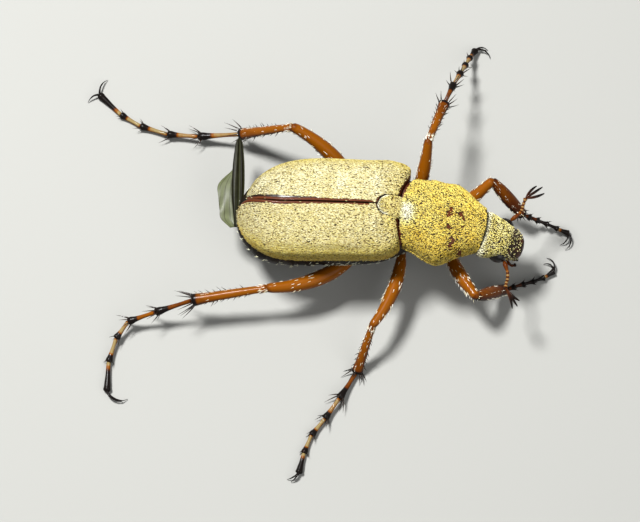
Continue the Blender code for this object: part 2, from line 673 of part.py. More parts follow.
def build():
    clear_scene()
    rng = random.Random(SEED)
    legs = list(LEG_POSES)
    hind_legs = [leg for leg in legs if not leg.startswith("front")]

    for side, hand in (("left", 1), ("right", -1)):
        case = apply_boolean(elytron(hand), "DIFFERENCE",
                             [slab("cut", scutellum_outline(GAP), 2.0, 6.0), pronotum(GAP)])
        finish(case, "elytron_" + side, "elytra")
    tongue = slab("scutellum", scutellum_outline(), CORE_TOP + GAP, ELYTRA_TOP - 0.05)
    finish(apply_boolean(tongue, "DIFFERENCE", [pronotum(GAP)]), "scutellum", "scutellum")

    limbs = [coxa(leg, GAP) for leg in hind_legs] + [femur(leg, GAP) for leg in hind_legs]
    chest = hind_body("metathorax", METATHORAX_SECTIONS)
    finish(apply_boolean(chest, "DIFFERENCE", limbs + [pronotum(GAP)]), "metathorax", "body")
    limbs = [femur(leg, GAP) for leg in legs if leg.startswith("hind")] + [hindwing(GAP)]
    finish(apply_boolean(hind_body("abdomen", ABDOMEN_SECTIONS), "DIFFERENCE", limbs), "abdomen", "body")
    finish(apply_boolean(pygidium(), "DIFFERENCE", [hindwing(GAP)]), "pygidium", "body")
    limbs = [coxa(leg, GAP) for leg in legs[:4]] + [femur(leg, GAP) for leg in legs[:4]]
    finish(apply_boolean(pronotum(), "DIFFERENCE", limbs), "pronotum", "pronotum")
    finish(apply_boolean(head(), "DIFFERENCE", [eye(1, GAP), eye(-1, GAP)]), "head", "head")
    finish(mouthparts(), "mouthparts", "feeler")
    finish(hindwing(), "hindwing", "wing")

    for side, hand in (("left", 1), ("right", -1)):
        finish(eye(hand), "eye_" + side, "black")
        joints = [Vector(point) for point in ANTENNAE[side]["joints"]]
        finish(antenna(joints, "antenna"), "antenna_" + side, "feeler")
        finish(club(joints[-1], joints[-2], ANTENNAE[side]["tips"]), "antenna_club_" + side, "black")

    for leg in legs:
        finish(coxa(leg), leg + "_coxa", "leg")
        finish(femur(leg), leg + "_femur", "leg")
        finish(tibia(leg, rng), leg + "_tibia", "leg")
        finish(tarsus(leg, rng), leg + "_tarsus", "foot")
        finish(claws(leg), leg + "_claws", "black")


build()
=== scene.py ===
# A rose chafer, the slender long-legged beetle, standing still as a museum model.
# Shapes are worked out in millimetres over the part's own measuring point and put into metres at the end.
import math
import bpy
import numpy as np
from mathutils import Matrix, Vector


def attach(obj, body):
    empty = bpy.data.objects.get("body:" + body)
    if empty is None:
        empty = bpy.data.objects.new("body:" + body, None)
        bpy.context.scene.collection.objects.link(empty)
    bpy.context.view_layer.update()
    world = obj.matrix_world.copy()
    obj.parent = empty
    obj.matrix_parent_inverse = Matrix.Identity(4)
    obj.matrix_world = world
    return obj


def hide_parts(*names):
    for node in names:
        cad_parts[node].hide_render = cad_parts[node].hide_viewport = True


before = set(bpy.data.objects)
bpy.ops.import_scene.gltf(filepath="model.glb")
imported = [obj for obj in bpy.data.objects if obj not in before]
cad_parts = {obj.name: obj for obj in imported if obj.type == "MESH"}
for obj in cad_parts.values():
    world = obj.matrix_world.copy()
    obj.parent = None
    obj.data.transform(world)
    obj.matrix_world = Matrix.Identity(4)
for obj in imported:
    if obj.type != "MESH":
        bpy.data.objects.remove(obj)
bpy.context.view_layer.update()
print("solids loaded:", len(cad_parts))

millimetre = 0.001
floorMiddle = np.array([0.384, 0.649, 0.0])    # this point of the measuring frame lies over the origin
fullTurn = 2 * math.pi
rng = np.random.default_rng(11)
hands = (("Left", 1), ("Right", -1))


def unit(vectors):
    # each vector divided by its own length
    return vectors / np.maximum(np.linalg.norm(vectors, axis=-1, keepdims=True), 1e-9)


def bent(value, power):
    # a sine or cosine with its size raised to a power, which squares or pinches an oval
    return np.sign(value) * np.abs(value) ** power


def smoothStep(low, high, value):
    # 3t^2 - 2t^3 with t the share of the way from low to high
    share = np.clip((value - low) / (high - low), 0, 1)
    return share * share * (3 - 2 * share)


def hump(value, middle, width):
    # exp(-((value - middle) / width)^2)
    return np.exp(-((value - middle) / width) ** 2)


def curveThrough(keys, values, spots):
    # cubic Hermite curve through the keys, each slope the mean of the two chords beside it
    keys, values = np.asarray(keys, float), np.asarray(values, float)
    gaps = np.diff(keys).reshape((-1,) + (1,) * (values.ndim - 1))
    chords = np.diff(values, axis=0) / gaps
    slopes = np.concatenate([chords[:1], 0.5 * (chords[1:] + chords[:-1]), chords[-1:]])
    spots = np.clip(np.asarray(spots, float), keys[0], keys[-1])
    cell = np.clip(np.searchsorted(keys, spots, side="right") - 1, 0, len(keys) - 2)
    span = keys[cell + 1] - keys[cell]
    share = (spots - keys[cell]) / span
    share = share.reshape(share.shape + (1,) * (values.ndim - 1))
    span = span.reshape(share.shape)
    rest = 1 - share
    return ((1 + 2 * share) * rest ** 2 * values[cell] + share * rest ** 2 * span * slopes[cell]
            + share ** 2 * (3 - 2 * share) * values[cell + 1]
            - share ** 2 * rest * span * slopes[cell + 1])


def heading(turn, pitch):
    # unit vector with a compass turn from +X and a pitch above the floor, in degrees
    turn, pitch = np.radians(turn), np.radians(pitch)
    return np.stack([np.cos(pitch) * np.cos(turn), np.cos(pitch) * np.sin(turn),
                     np.sin(pitch) + 0 * turn], -1)


def stand(place, x, y, z):
    # a body stretch's own x, y, z turned about Z and moved to where the stretch starts
    turn = math.radians(place["turn"])
    x, y, z = np.broadcast_arrays(x, y, z)
    return np.stack([place["x"] + x * math.cos(turn) - y * math.sin(turn),
                     place["y"] + x * math.sin(turn) + y * math.cos(turn), z], -1)


def backward(place):
    # the lie of scales that all point straight back along a body stretch
    return lambda points: np.tile(-heading(place["turn"], 0), (len(points), 1))


def waves(points, size, seed):
    # smooth noise from -1 to 1: a mean of seven sines with random directions and phases, size in mm
    own = np.random.default_rng(seed)
    ways = unit(own.normal(size=(7, 3))) * own.uniform(0.7, 1.6, (7, 1)) * fullTurn / size
    return np.sin(points @ ways.T + own.uniform(0, 6.28, 7)).mean(-1) * 1.6


def roundAngles(sides):
    # even angles once round, without the last one that would repeat the first
    return np.linspace(0, fullTurn, sides, endpoint=False)


def roundNet(rows, sides, first=0.0):
    # u from first to 1 along the rows and v once round, for a surface of (u, v)
    return np.meshgrid(np.linspace(first, 1, rows), np.arange(sides) / sides, indexing="ij")


def flatRows(faces):
    # quads cut in two, triangles left as they are
    if faces.shape[1] == 3:
        return faces
    return np.concatenate([faces[:, (0, 1, 2)], faces[:, (0, 2, 3)]])


def makePiece(name, points, faceSets, look, nodes=(), marks=None, patches=None):
    # puts points in mm and lists of quads or triangles into a mesh, with the faces turned outward
    corners = np.concatenate([flatRows(faces) for faces in faceSets])
    a, b, c = points[corners[:, 0]], points[corners[:, 1]], points[corners[:, 2]]
    if np.einsum("ij,ij->i", a, np.cross(b, c)).sum() < 0:
        faceSets = [faces[:, ::-1] for faces in faceSets]
    loops = np.concatenate([faces.ravel() for faces in faceSets])
    starts, begun = [], 0
    for faces in faceSets:
        starts.append(begun + np.arange(len(faces)) * faces.shape[1])
        begun += faces.size
    mesh = bpy.data.meshes.new(name)
    mesh.vertices.add(len(points))
    mesh.vertices.foreach_set("co", ((points - floorMiddle) * millimetre).astype(np.float32).ravel())
    mesh.loops.add(len(loops))
    mesh.loops.foreach_set("vertex_index", loops.astype(np.int32))
    mesh.polygons.add(sum(len(faces) for faces in faceSets))
    mesh.polygons.foreach_set("loop_start", np.concatenate(starts).astype(np.int32))
    mesh.update(calc_edges=True)
    mesh.shade_smooth()
    for mark, values in (marks or {}).items():
        layer = mesh.attributes.new(mark, "FLOAT", "POINT")
        layer.data.foreach_set("value", np.asarray(values, np.float32).ravel())
    if patches is not None:
        mesh.uv_layers.new(name="OFBake").uv.foreach_set("vector", patches[loops].astype(np.float32).ravel())
    mesh.materials.append(look)
    piece = bpy.data.objects.new(name, mesh)
    bpy.context.scene.collection.objects.link(piece)
    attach(piece, "root")
    if nodes:
        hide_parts(*nodes)


def closedTubes(grid):
    # grid is (tubes, rings, sides, 3): each tube's rings joined in order, a fan over both ends
    count, rings, sides = grid.shape[:3]
    ends = np.stack([grid[:, 0].mean(1), grid[:, -1].mean(1)], 1)
    points = np.concatenate([grid.reshape(count, -1, 3), ends], 1).reshape(-1, 3)
    ring, side = np.meshgrid(np.arange(rings - 1), np.arange(sides), indexing="ij")
    here, beside = ring * sides + side, ring * sides + (side + 1) % sides
    quads = np.stack([here, beside, beside + sides, here + sides], -1).reshape(-1, 4)
    corner = np.arange(sides)
    after, last = (corner + 1) % sides, (rings - 1) * sides
    fans = np.concatenate([np.stack([np.full(sides, rings * sides), after, corner], -1),
                           np.stack([np.full(sides, rings * sides + 1), last + corner, last + after], -1)])
    shift = (np.arange(count) * (rings * sides + 2))[:, None, None]
    return points, [(quads[None] + shift).reshape(-1, 4), (fans[None] + shift).reshape(-1, 3)]


def endMarks(values):
    # a mark per ring point, with each end fan's middle given its ring's mean
    count = values.shape[0]
    ends = np.stack([values[:, 0].mean(1), values[:, -1].mean(1)], 1)
    return np.concatenate([values.reshape(count, -1), ends], 1).ravel()


def tubePiece(name, grid, look, nodes, tone):
    # a piece of closed tubes with the mark "tone" given for every ring point
    points, faces = closedTubes(grid)
    makePiece(name, points, faces, looks[look], nodes, {"tone": endMarks(tone)})


def ringsAlong(path, sideways, upward, sides=16, reference=(0, 0, 1)):
    # path + side * sideways * cos + up * upward * sin, with side square to the path and the reference
    along = unit(np.gradient(path, axis=-2))
    side = unit(np.cross(along, reference))
    up = np.cross(side, along)
    angle = roundAngles(sides)
    wide = (np.asarray(sideways)[..., None] * np.cos(angle))[..., None]
    tall = (np.asarray(upward)[..., None] * np.sin(angle))[..., None]
    return path[..., None, :] + side[..., None, :] * wide + up[..., None, :] * tall


def needles(roots, ways, lengths, thick, droop, sides=4, rings=4):
    # curved spines: root + way * length * t + droop * length * t^2, thickness falling as (1 - t)^0.8
    share = np.linspace(0, 1, rings)
    lengths = np.asarray(lengths)[:, None, None]
    path = (roots[:, None] + ways[:, None] * lengths * share[:, None]
            + droop[:, None] * lengths * share[:, None] ** 2)
    steep = np.abs(ways[:, 2:3]) > 0.8
    reference = np.where(steep, np.array([[1.0, 0, 0]]), np.array([[0, 0, 1.0]]))[:, None]
    radius = np.asarray(thick)[:, None] * np.maximum((1 - share) ** 0.8, 0.06)
    return ringsAlong(path, radius, radius, sides, reference)


def screen(red, green, blue):
    # linear colour of an eight-bit screen colour
    part = np.array([red, green, blue]) / 255
    linear = np.where(part <= 0.04045, part / 12.92, ((part + 0.055) / 1.055) ** 2.4)
    return (*linear.tolist(), 1.0)


def startLook(name, sockets):
    # a Principled surface with its plain numbers set on its own sockets
    look = bpy.data.materials.new(name)
    look.use_nodes = True
    shader = look.node_tree.nodes["Principled BSDF"]
    for socket, value in sockets.items():
        shader.inputs[socket].default_value = value
    return look, look.node_tree.nodes, look.node_tree.links, shader


def addMark(nodes, links, name):
    # the value of a mark on the mesh's points
    reader = nodes.new("ShaderNodeAttribute")
    reader.attribute_name = name
    return reader.outputs["Fac"]


def addTexture(nodes, links, kind, size):
    # a texture on Object coordinates, its grain about the given size in mm
    texture = nodes.new(kind)
    texture.inputs["Scale"].default_value = 1 / (size * millimetre)
    links.new(nodes.new("ShaderNodeTexCoord").outputs["Object"], texture.inputs["Vector"])
    return texture


def addNoise(nodes, links, size, detail=3.0):
    # soft noise from 0 to 1
    texture = addTexture(nodes, links, "ShaderNodeTexNoise", size)
    texture.inputs["Detail"].default_value = detail
    return texture.outputs["Fac"]


def addCells(nodes, links, size):
    # distance from the middle of the nearest cell
    return addTexture(nodes, links, "ShaderNodeTexVoronoi", size).outputs["Distance"]


def addMath(nodes, links, operation, first, second):
    # two numbers or outputs added, subtracted or multiplied
    sums = nodes.new("ShaderNodeMath")
    sums.operation = operation
    for socket, value in zip(sums.inputs, (first, second)):
        if isinstance(value, (int, float)):
            socket.default_value = value
        else:
            links.new(value, socket)
    return sums.outputs["Value"]


def addTone(nodes, links, size, amount, detail=3.0):
    # the mark "tone" with a little noise either way
    noise = addNoise(nodes, links, size, detail)
    drift = addMath(nodes, links, "MULTIPLY", addMath(nodes, links, "SUBTRACT", noise, 0.5), amount)
    return addMath(nodes, links, "ADD", addMark(nodes, links, "tone"), drift)


def addPits(nodes, links, grain, pits, depth):
    # fine cells, and coarser ones so many times deeper where the mark "pits" is set
    where = addMath(nodes, links, "MULTIPLY", addMark(nodes, links, "pits"), depth)
    coarse = addMath(nodes, links, "MULTIPLY", addCells(nodes, links, pits), where)
    return addMath(nodes, links, "ADD", addCells(nodes, links, grain), coarse)


def addRamp(nodes, links, value, stops):
    # stops are (share, colour)
    ramp = nodes.new("ShaderNodeValToRGB")
    line = ramp.color_ramp
    for number, (share, colour) in enumerate(stops):
        stop = line.elements[number] if number < 2 else line.elements.new(share)
        stop.position, stop.color = share, colour
    links.new(value, ramp.inputs["Fac"])
    return ramp.outputs["Color"]


def addBump(nodes, links, shader, height, depth, strength):
    # depth in mm
    bump = nodes.new("ShaderNodeBump")
    bump.inputs["Distance"].default_value = depth * millimetre
    bump.inputs["Strength"].default_value = strength
    links.new(height, bump.inputs["Height"])
    links.new(bump.outputs["Normal"], shader.inputs["Normal"])


sources = {"mark": addMark, "tone": addTone, "noise": addNoise, "cells": addCells, "pits": addPits}
finishes = {
    # "colour" names what the stops follow and "relief" what the bump follows, each with its sizes in mm;
    # for the tone an amount of noise comes after the size. "bump" is the depth in mm and the strength
    "cuticle": {    # bare shell under the scales, dark to red-brown, with fine punctures
        "name": "shellCuticle",
        "sockets": {"Roughness": 0.4, "Coat Weight": 0.10, "Coat Roughness": 0.08,
                    "Specular IOR Level": 0.14},
        "colour": ("tone", 0.12, 0.4),
        "stops": ((0.1, screen(30, 18, 10)), (0.55, screen(84, 40, 16)), (1.0, screen(118, 48, 18))),
        "relief": ("pits", 0.09, 0.075, 4.0), "bump": (0.012, 0.7),
    },
    "body": {       # black-brown shell of the trunk, hardly shiny, its plates finely punctured
        "name": "bodyShell",
        "sockets": {"Roughness": 0.5, "Coat Weight": 0.04, "Coat Roughness": 0.05,
                    "Specular IOR Level": 0.08},
        "colour": ("tone", 0.3, 0.2),
        "stops": ((0.0, screen(14, 11, 8)), (0.4, screen(34, 24, 14)), (1.0, screen(118, 48, 18))),
        "relief": ("cells", 0.09), "bump": (0.012, 0.7),
    },
    "leg": {        # glossy leg shell: pale, amber, rust and black
        "name": "legShell",
        "sockets": {"Roughness": 0.34, "Coat Weight": 0.07, "Coat Roughness": 0.06,
                    "Specular IOR Level": 0.05},
        "colour": ("tone", 0.3, 0.3, 4.0),
        "stops": ((0.0, screen(124, 107, 68)), (0.2, screen(124, 107, 68)), (0.34, screen(114, 62, 4)),
                  (0.52, screen(114, 62, 4)), (0.74, screen(72, 31, 5)), (0.95, screen(17, 13, 11))),
        "relief": ("noise", 0.07, 2.0), "bump": (0.006, 0.6),
    },
    "black": {      # glossy black-brown chitin of the spurs
        "name": "blackChitin",
        "sockets": {"Roughness": 0.26, "Coat Weight": 0.3, "Coat Roughness": 0.06,
                    "Specular IOR Level": 0.3},
        "colour": ("noise", 0.3),
        "stops": ((0.3, screen(13, 10, 9)), (0.75, screen(46, 26, 14))),
        "relief": ("noise", 0.05), "bump": (0.003, 0.5),
    },
    "eye": {        # black eye under many small lenses
        "name": "eyeLens",
        "sockets": {"Roughness": 0.25, "Coat Weight": 0.16, "Coat Roughness": 0.04,
                    "Specular IOR Level": 0.2},
        "colour": ("cells", 0.028),
        "stops": ((0.0, screen(22, 18, 16)), (0.8, screen(6, 5, 5))),
        "relief": ("cells", 0.028), "bump": (-0.006, 0.8),
    },
    "hair": {       # pale bristles that catch the light
        "name": "paleBristle",
        "sockets": {"Roughness": 0.3, "Specular IOR Level": 0.6, "Sheen Weight": 0.2},
        "colour": ("mark", "tint"),
        "stops": ((0.0, screen(196, 180, 132)), (1.0, screen(252, 250, 238))),
    },
    "wing": {       # smoky folded membrane, clearer where the tone is low and darker along its veins
        "name": "wingMembrane",
        "sockets": {"Roughness": 0.42, "Coat Weight": 0.05, "Coat Roughness": 0.25, "Specular IOR Level": 0.2,
                    "Transmission Weight": 0.45, "IOR": 1.2},
        "colour": ("tone", 0.35, 0.3),
        "stops": ((0.1, screen(112, 118, 84)), (0.5, screen(62, 64, 38)), (1.0, screen(24, 22, 11))),
        "relief": ("noise", 0.12, 2.0), "bump": (0.01, 0.6),
    },
}


def makeLook(finish):
    # the finish's stops over its colour source, and the relief of its other source
    look, nodes, links, shader = startLook(finish["name"], finish["sockets"])
    source, *sizes = finish["colour"]
    colour = addRamp(nodes, links, sources[source](nodes, links, *sizes), finish["stops"])
    links.new(colour, shader.inputs["Base Color"])
    if "relief" in finish:
        source, *sizes = finish["relief"]
        addBump(nodes, links, shader, sources[source](nodes, links, *sizes), *finish["bump"])
    return look


scaleFinish = {
    "sockets": {"Roughness": 0.38, "Specular IOR Level": 0.35, "Sheen Weight": 0.04, "Sheen Roughness": 0.4},
    # cream, straw, gold and olive
    "warmth": ((0.0, screen(230, 230, 207)), (0.45, screen(216, 204, 112)), (0.85, screen(217, 181, 44)),
               (1.0, screen(140, 132, 50))),
    "tint": ((0.0, screen(54, 36, 14)), (0.25, screen(128, 106, 66)), (0.5, screen(204, 194, 166)),
             (0.75, screen(255, 255, 255))),
}


def scaleLook():
    # flat scale hairs: cream to gold by the mark "warmth", times a shade by the mark "tint"
    look, nodes, links, shader = startLook("scaleHair", scaleFinish["sockets"])
    mixer = nodes.new("ShaderNodeMix")
    mixer.data_type, mixer.blend_type = "RGBA", "MULTIPLY"
    mixer.inputs[0].default_value = 1.0
    for number, mark in ((6, "warmth"), (7, "tint")):
        links.new(addRamp(nodes, links, addMark(nodes, links, mark), scaleFinish[mark]), mixer.inputs[number])
    links.new(mixer.outputs[2], shader.inputs["Base Color"])
    return look


looks = {name: makeLook(finish) for name, finish in finishes.items()}
looks["scale"] = scaleLook()
print("looks made:", len(looks))


scaleForm = {
    # least and most of each size, as shares of the size set for the coat
    "lengths": (0.75, 1.2), "widths": (0.8, 1.2), "lifts": (0.7, 1.3), "depths": (0.7, 1.0),
    "widest": 0.45,         # share of the length where the two side corners stand
    "crest": 0.5,           # share of the length where the raised middle stands
    "crestHeight": 0.006,   # mm, and more by this share of the tip's lift
    "crestLift": 0.6,
    "sunk": 0.012,          # mm, how deep the root is
    "patch": 0.0015,        # half size of a scale's patch on its map
    "margin": 0.01,         # free edge of the map
    "warmthDrift": 0.07,
    "creamTint": 0.3,       # added to the tint where a coat is cream
    "cream": (-0.1, 0.25),  # the warmth at which that is full, and gone
    "moreCells": 1.2,       # cells for each dim scale where those are spread evenly
}


def spreadSpots(surface, count, density, seed):
    # even spots on a surface of (u, v): an R2 sequence, thinned by local area and density
    own = np.random.default_rng(seed)
    plastic = 1.32471795724
    u, v = [(0.5 + np.arange(1, count + 1) / plastic ** power) % 1 for power in (1, 2)]
    reach = 1e-3
    along = (surface(u + reach, v) - surface(u - reach, v)) / (2 * reach)
    across = (surface(u, v + reach) - surface(u, v - reach)) / (2 * reach)
    normal = np.cross(along, across)
    area = np.linalg.norm(normal, axis=-1)
    points = surface(u, v)
    keep = own.random(count) < area / np.percentile(area, 99) * density(u, v, points)
    return u[keep], v[keep], points[keep], unit(normal[keep])


def pickEvenly(u, v, share, stretch, own):
    # true for about this share of the spots, at most one in each cell of a grid over (u, v)
    across = math.sqrt(scaleForm["moreCells"] * share * len(u) / stretch)
    cell = np.floor(u * across * stretch) * len(u) + np.floor(v * across)
    mixed = own.permutation(len(u))
    first, counts = np.unique(cell[mixed], return_index=True, return_counts=True)[1:]
    picked = np.zeros(len(u), bool)
    picked[mixed[first]] = own.random(len(first)) < counts * share
    return picked


def layScales(name, surface, middle, lie, warmth, settings, density, seed):
    # lanceolate scales of six triangles: a sunk root, two sides, a lifted tip and a raised middle,
    # pointing along the lie laid flat on the surface and turned by a small random angle
    own = np.random.default_rng(seed)
    u, v, roots, normal = spreadSpots(surface, settings["tries"], density, seed + 1)
    count = len(roots)
    normal = normal * np.sign(np.einsum("ij,ij->i", normal, roots - middle))[:, None]
    way = lie(roots)
    way = unit(way - normal * np.einsum("ij,ij->i", normal, way)[:, None])
    turn = own.normal(0, math.radians(settings["stray"]), count)[:, None]
    way = way * np.cos(turn) + np.cross(normal, way) * np.sin(turn)
    side = np.cross(normal, way)
    length, width, lift, depth = [settings[size] * own.uniform(*scaleForm[size + "s"], count)[:, None]
                                  for size in ("length", "width", "lift", "depth")]
    base = roots + normal * depth
    edge = base + way * scaleForm["widest"] * length
    blade = np.stack([
        base - normal * scaleForm["sunk"],
        edge + side * 0.5 * width,
        base + way * length + normal * lift,
        edge - side * 0.5 * width,
        base + way * scaleForm["crest"] * length
        + normal * (scaleForm["crestHeight"] + scaleForm["crestLift"] * lift)], 1)
    pattern = np.array([(0, 4, 1), (1, 4, 2), (2, 4, 3), (3, 4, 0), (0, 1, 3), (1, 2, 3)])
    faces = (pattern[None] + 5 * np.arange(count)[:, None, None]).reshape(-1, 3)
    patch = scaleForm["patch"] * np.array([(0, -1), (-1, 0), (0, 1), (1, 0), (0, 0)])
    homes = scaleForm["margin"] + (1 - 2 * scaleForm["margin"]) * np.stack([u, v], -1)
    # most scales are bright, a share of them is dim, partly their own uneven tone and partly painted shade
    # between the scales, and less so where they are cream
    warm = warmth(roots, u, v)
    if settings["even"]:
        dim = pickEvenly(u, v, settings["dimShare"], settings["even"], own)
    else:
        dim = own.random(count) < settings["dimShare"]
    tint = np.where(dim, own.uniform(*settings["dimTint"], count), own.uniform(*settings["tint"], count))
    # brighter where the coat is cream; this also brightens the painted highlight on the thorax plate
    tint = tint + scaleForm["creamTint"] * (1 - smoothStep(*scaleForm["cream"], warm))
    marks = {"warmth": np.repeat(warm + own.normal(0, scaleForm["warmthDrift"], count), 5),
             "tint": (tint[:, None] * np.array(settings["bands"])).ravel()}
    makePiece(name, blade.reshape(-1, 3), [faces], looks["scale"], marks=marks,
              patches=(homes[:, None] + patch[None]).reshape(-1, 2))
    print("  scales on", name, count)


# In each coat below: sizes in mm, "stray" in degrees, "bands" the shades of a scale's root, one side,
# tip, other side and middle, where they differ darker at the root and sides as painted shade where a scale
# tucks under its neighbours, and "even" how much longer than wide the cells are that hold one dim scale each
elytraPlace = {"x": 3.40, "y": 1.60, "turn": -1.9}
wingCase = {
    "length": {1: 6.34, -1: 6.60},           # left, right
    "edgeHeight": 3.22,
    "shell": 0.09,
    "rows": 130,
    "across": 56,
    "sutureGap": 0.022,
    "ahead": {1: 0.23, -1: -0.02},           # how much further forward the shoulder reaches
    "tailCut": {1: 0.10, -1: 0.42},          # how far the inner corner of the tail is rounded off
    "tailCutStart": 5.95,
    "setBack": {1: 0.04, -1: 0.12},
    "bareSuture": {1: 0.13, -1: 0.08},
    "hollow": (0.24, 1.55),                  # depth and half width of the hollow front margin
    "knob": (0.07, 0.85, 0.45, 0.62, 0.13),  # height, distance behind and spread, share across and spread
    "furrows": (0.010, 5),                   # depth and number
    "bead": (0.03, 0.045, 0.035),            # height, distance from the suture, width
    "rim": (0.03, 0.97, 0.02),               # height, share across, width
    # small rubbed specks: x and y over the floor, radius across and along
    "specks": ((1.51, 0.06, 0.035, 0.11), (1.93, -0.11, 0.05, 0.05), (2.67, 0.35, 0.12, 0.025),
               (2.45, -0.14, 0.08, 0.03), (1.93, 3.21, 0.06, 0.03), (2.49, 3.01, 0.03, 0.05),
               (-2.36, 0.95, 0.05, 0.05)),
    # distance behind the front against half width and top height, all in mm
    "stations": (0, 0.04, 0.12, 0.3, 0.6, 1.0, 1.6, 2.6, 3.6,
                 4.3, 4.9, 5.4, 5.8, 6.15, 6.45, 6.65, 6.78, 6.85),
    "widths": {1: (1.50, 1.70, 1.84, 1.97, 2.04, 2.08, 2.10, 2.12, 2.12,
                   2.07, 1.97, 1.82, 1.63, 1.40, 1.12, 0.82, 0.5, 0.02),
               -1: (1.2, 1.38, 1.52, 1.68, 1.81, 1.89, 1.93, 1.95, 1.99,
                    2.0, 1.97, 1.87, 1.70, 1.46, 1.16, 0.84, 0.5, 0.02)},
    "tops": (4.08, 4.12, 4.18, 4.27, 4.38, 4.45, 4.49, 4.5, 4.49,
             4.46, 4.41, 4.33, 4.22, 4.07, 3.87, 3.67, 3.47, 3.2),
}
tongue = {
    "length": 1.14, "half": 0.43, "gap": 0.022, "rows": 60, "sides": 48, "middle": 0.48, "reach": 0.66,
    "wall": (0.08, 0.5, 5),      # first and last depth of the rings under the edge, and their number
    # distance behind the wing cases' front against height
    "stations": (-0.2, 0.1, 0.3, 0.6, 0.9, 1.14), "heights": (3.80, 3.97, 4.19, 4.38, 4.47, 4.42),
}
wingScales = {"tries": 43000, "length": 0.13, "width": 0.044, "lift": 0.014, "depth": 0.012, "stray": 7,
              "tint": (0.50, 0.74), "dimShare": 0.24, "even": 2.0, "dimTint": (0.22, 0.46),
              "bands": (0.4, 0.62, 0.95, 0.62, 1.0)}
tongueScales = dict(wingScales, tries=6000, length=0.12, width=0.045)


def tongueHalf(behind):
    # half width of the scutellum: half * (1 - s^5)^0.5 with s the share of its length
    share = np.clip(behind / tongue["length"], 0, 1)
    return tongue["half"] * np.sqrt(1 - share ** 5)


def wingCaseSection(u, v, hand, inset=0.0):
    # where a point lies: distance behind the front, width, top, angle, distance from the middle and
    # inner edge. A section is an oval quarter: y = width * cos^0.85, with the angle 90 at the suture
    u, v = np.clip(u, 0, 1), np.clip(v, 0, 1)
    share = 0.45 * u + 0.275 * (1 - np.cos(math.pi * u))
    length = wingCase["length"][hand]
    behind = share * length
    spot = share * wingCase["stations"][-1]
    width = curveThrough(wingCase["stations"], wingCase["widths"][hand], spot)
    top = curveThrough(wingCase["stations"], wingCase["tops"], spot)
    width = np.maximum(width - inset, 0.4 * width)
    top = np.maximum(top - inset, wingCase["edgeHeight"] + 0.3 * (top - wingCase["edgeHeight"]))
    angle = np.radians(90 - 99 * v)
    y = width * bent(np.cos(angle), 0.85)
    reach = behind + wingCase["setBack"][hand] + 0.23 * (1 - smoothStep(0.0, 2.2, behind))
    notch = np.where(reach < tongue["length"], tongueHalf(reach) + tongue["gap"], 0.0)
    drift = 0.03 + 0.2 * smoothStep(4.6, 6.6, behind)
    inner = np.maximum(notch, wingCase["sutureGap"]) + hand * drift * (1 - notch / 0.5)
    tail = np.clip((behind - wingCase["tailCutStart"]) / (length - wingCase["tailCutStart"]), 0, 1)
    inner = inner + wingCase["tailCut"][hand] * tail ** 3
    inner = np.minimum(inner, 0.8 * width)
    side = inner + y * (1 - inner / width)
    return behind, width, top, angle, side, inner


def wingCaseSurface(u, v, hand, inset=0.0):
    # u runs from the front to the tail and v from the suture to the side margin, with
    # z = edge + (top - edge) * sin^0.9 over the section's y
    behind, width, top, angle, side, inner = wingCaseSection(u, v, hand, inset)
    z = wingCase["edgeHeight"] + (top - wingCase["edgeHeight"]) * bent(np.sin(angle), 0.9)
    # front margin hollowed to follow the thorax, a shoulder knob, faint lengthwise furrows,
    # a bead along the suture and a rim along the side margin
    depth, half = wingCase["hollow"]
    hollow = (wingCase["setBack"][hand]
              + depth * np.clip(1 - (side / half) ** 2, 0, 1) * (1 - smoothStep(0.0, 2.2, behind)))
    hollow = (hollow - wingCase["ahead"][hand] * smoothStep(0.5, 1.5, side)
              * (1 - smoothStep(0.0, 1.6, behind)))
    height, *place = wingCase["knob"]
    knob = height * hump(behind, *place[:2]) * hump(v, *place[2:])
    depth, number = wingCase["furrows"]
    furrow = (-depth * np.cos(fullTurn * number * v) * smoothStep(0.3, 1.2, behind)
              * (1 - smoothStep(5.6, 6.6, behind)))
    height, *place = wingCase["bead"]
    bead = height * hump(side - inner, *place) * smoothStep(1.1, 1.4, behind)
    height, *place = wingCase["rim"]
    rim = height * hump(v, *place)
    detail = 1.0 if inset == 0 else 0.0
    outward = (knob + furrow + rim) * detail
    y, z = side + outward * np.cos(angle), z + outward * np.sin(angle) + bead * detail
    return stand(elytraPlace, -(behind + hollow), hand * y, z)


def wingWarmth(points, u, v, hand):
    # paler beside the suture, golden to the side margin and the front, with soft clouds; the whole right case
    # a little more golden as painted shade on the side away from the lamp
    base = 0.17 + 0.43 * smoothStep(0.35, 1.0, v) + 0.16 * (1 - smoothStep(0.0, 0.22, u))
    return base + (0.05 if hand < 0 else 0.0) + 0.04 * waves(points, 1.1, 3) + 0.02 * waves(points, 0.4, 4)


def wingDensity(u, v, points, hand):
    # scales thin out at the suture, where their edge is ragged, along a thin dark line near the tail of the
    # right case and on the specks
    behind, width, top, angle, side, inner = wingCaseSection(u, v, hand)
    clear = side - inner
    started = smoothStep(0.9, 1.3, behind)
    bare = wingCase["bareSuture"][hand] * started * (0.6 + 0.75 * smoothStep(2.5, 5.2, behind))
    edge = clear - bare - 0.024 * started + 0.016 * waves(points, 0.22, 40)
    bareMarks = hump(clear, 0.19, 0.022) * smoothStep(5.0, 5.8, behind) * (hand < 0)
    for x, y, wide, deep in wingCase["specks"]:
        bareMarks = np.maximum(bareMarks, hump(points[..., 0], x, wide) * hump(points[..., 1], y, deep))
    # the least density leaves a few scales on the bare strip beside the suture, painted glints on the shell
    return (np.maximum(smoothStep(-0.015, 0.02, edge), 0.015 * (behind > 1.2)) * (1 - bareMarks)
            * smoothStep(0.006, 0.016, u) * (1 - smoothStep(0.955, 0.975, v))
            * (0.93 + 0.07 * waves(points, 0.5, 8)))


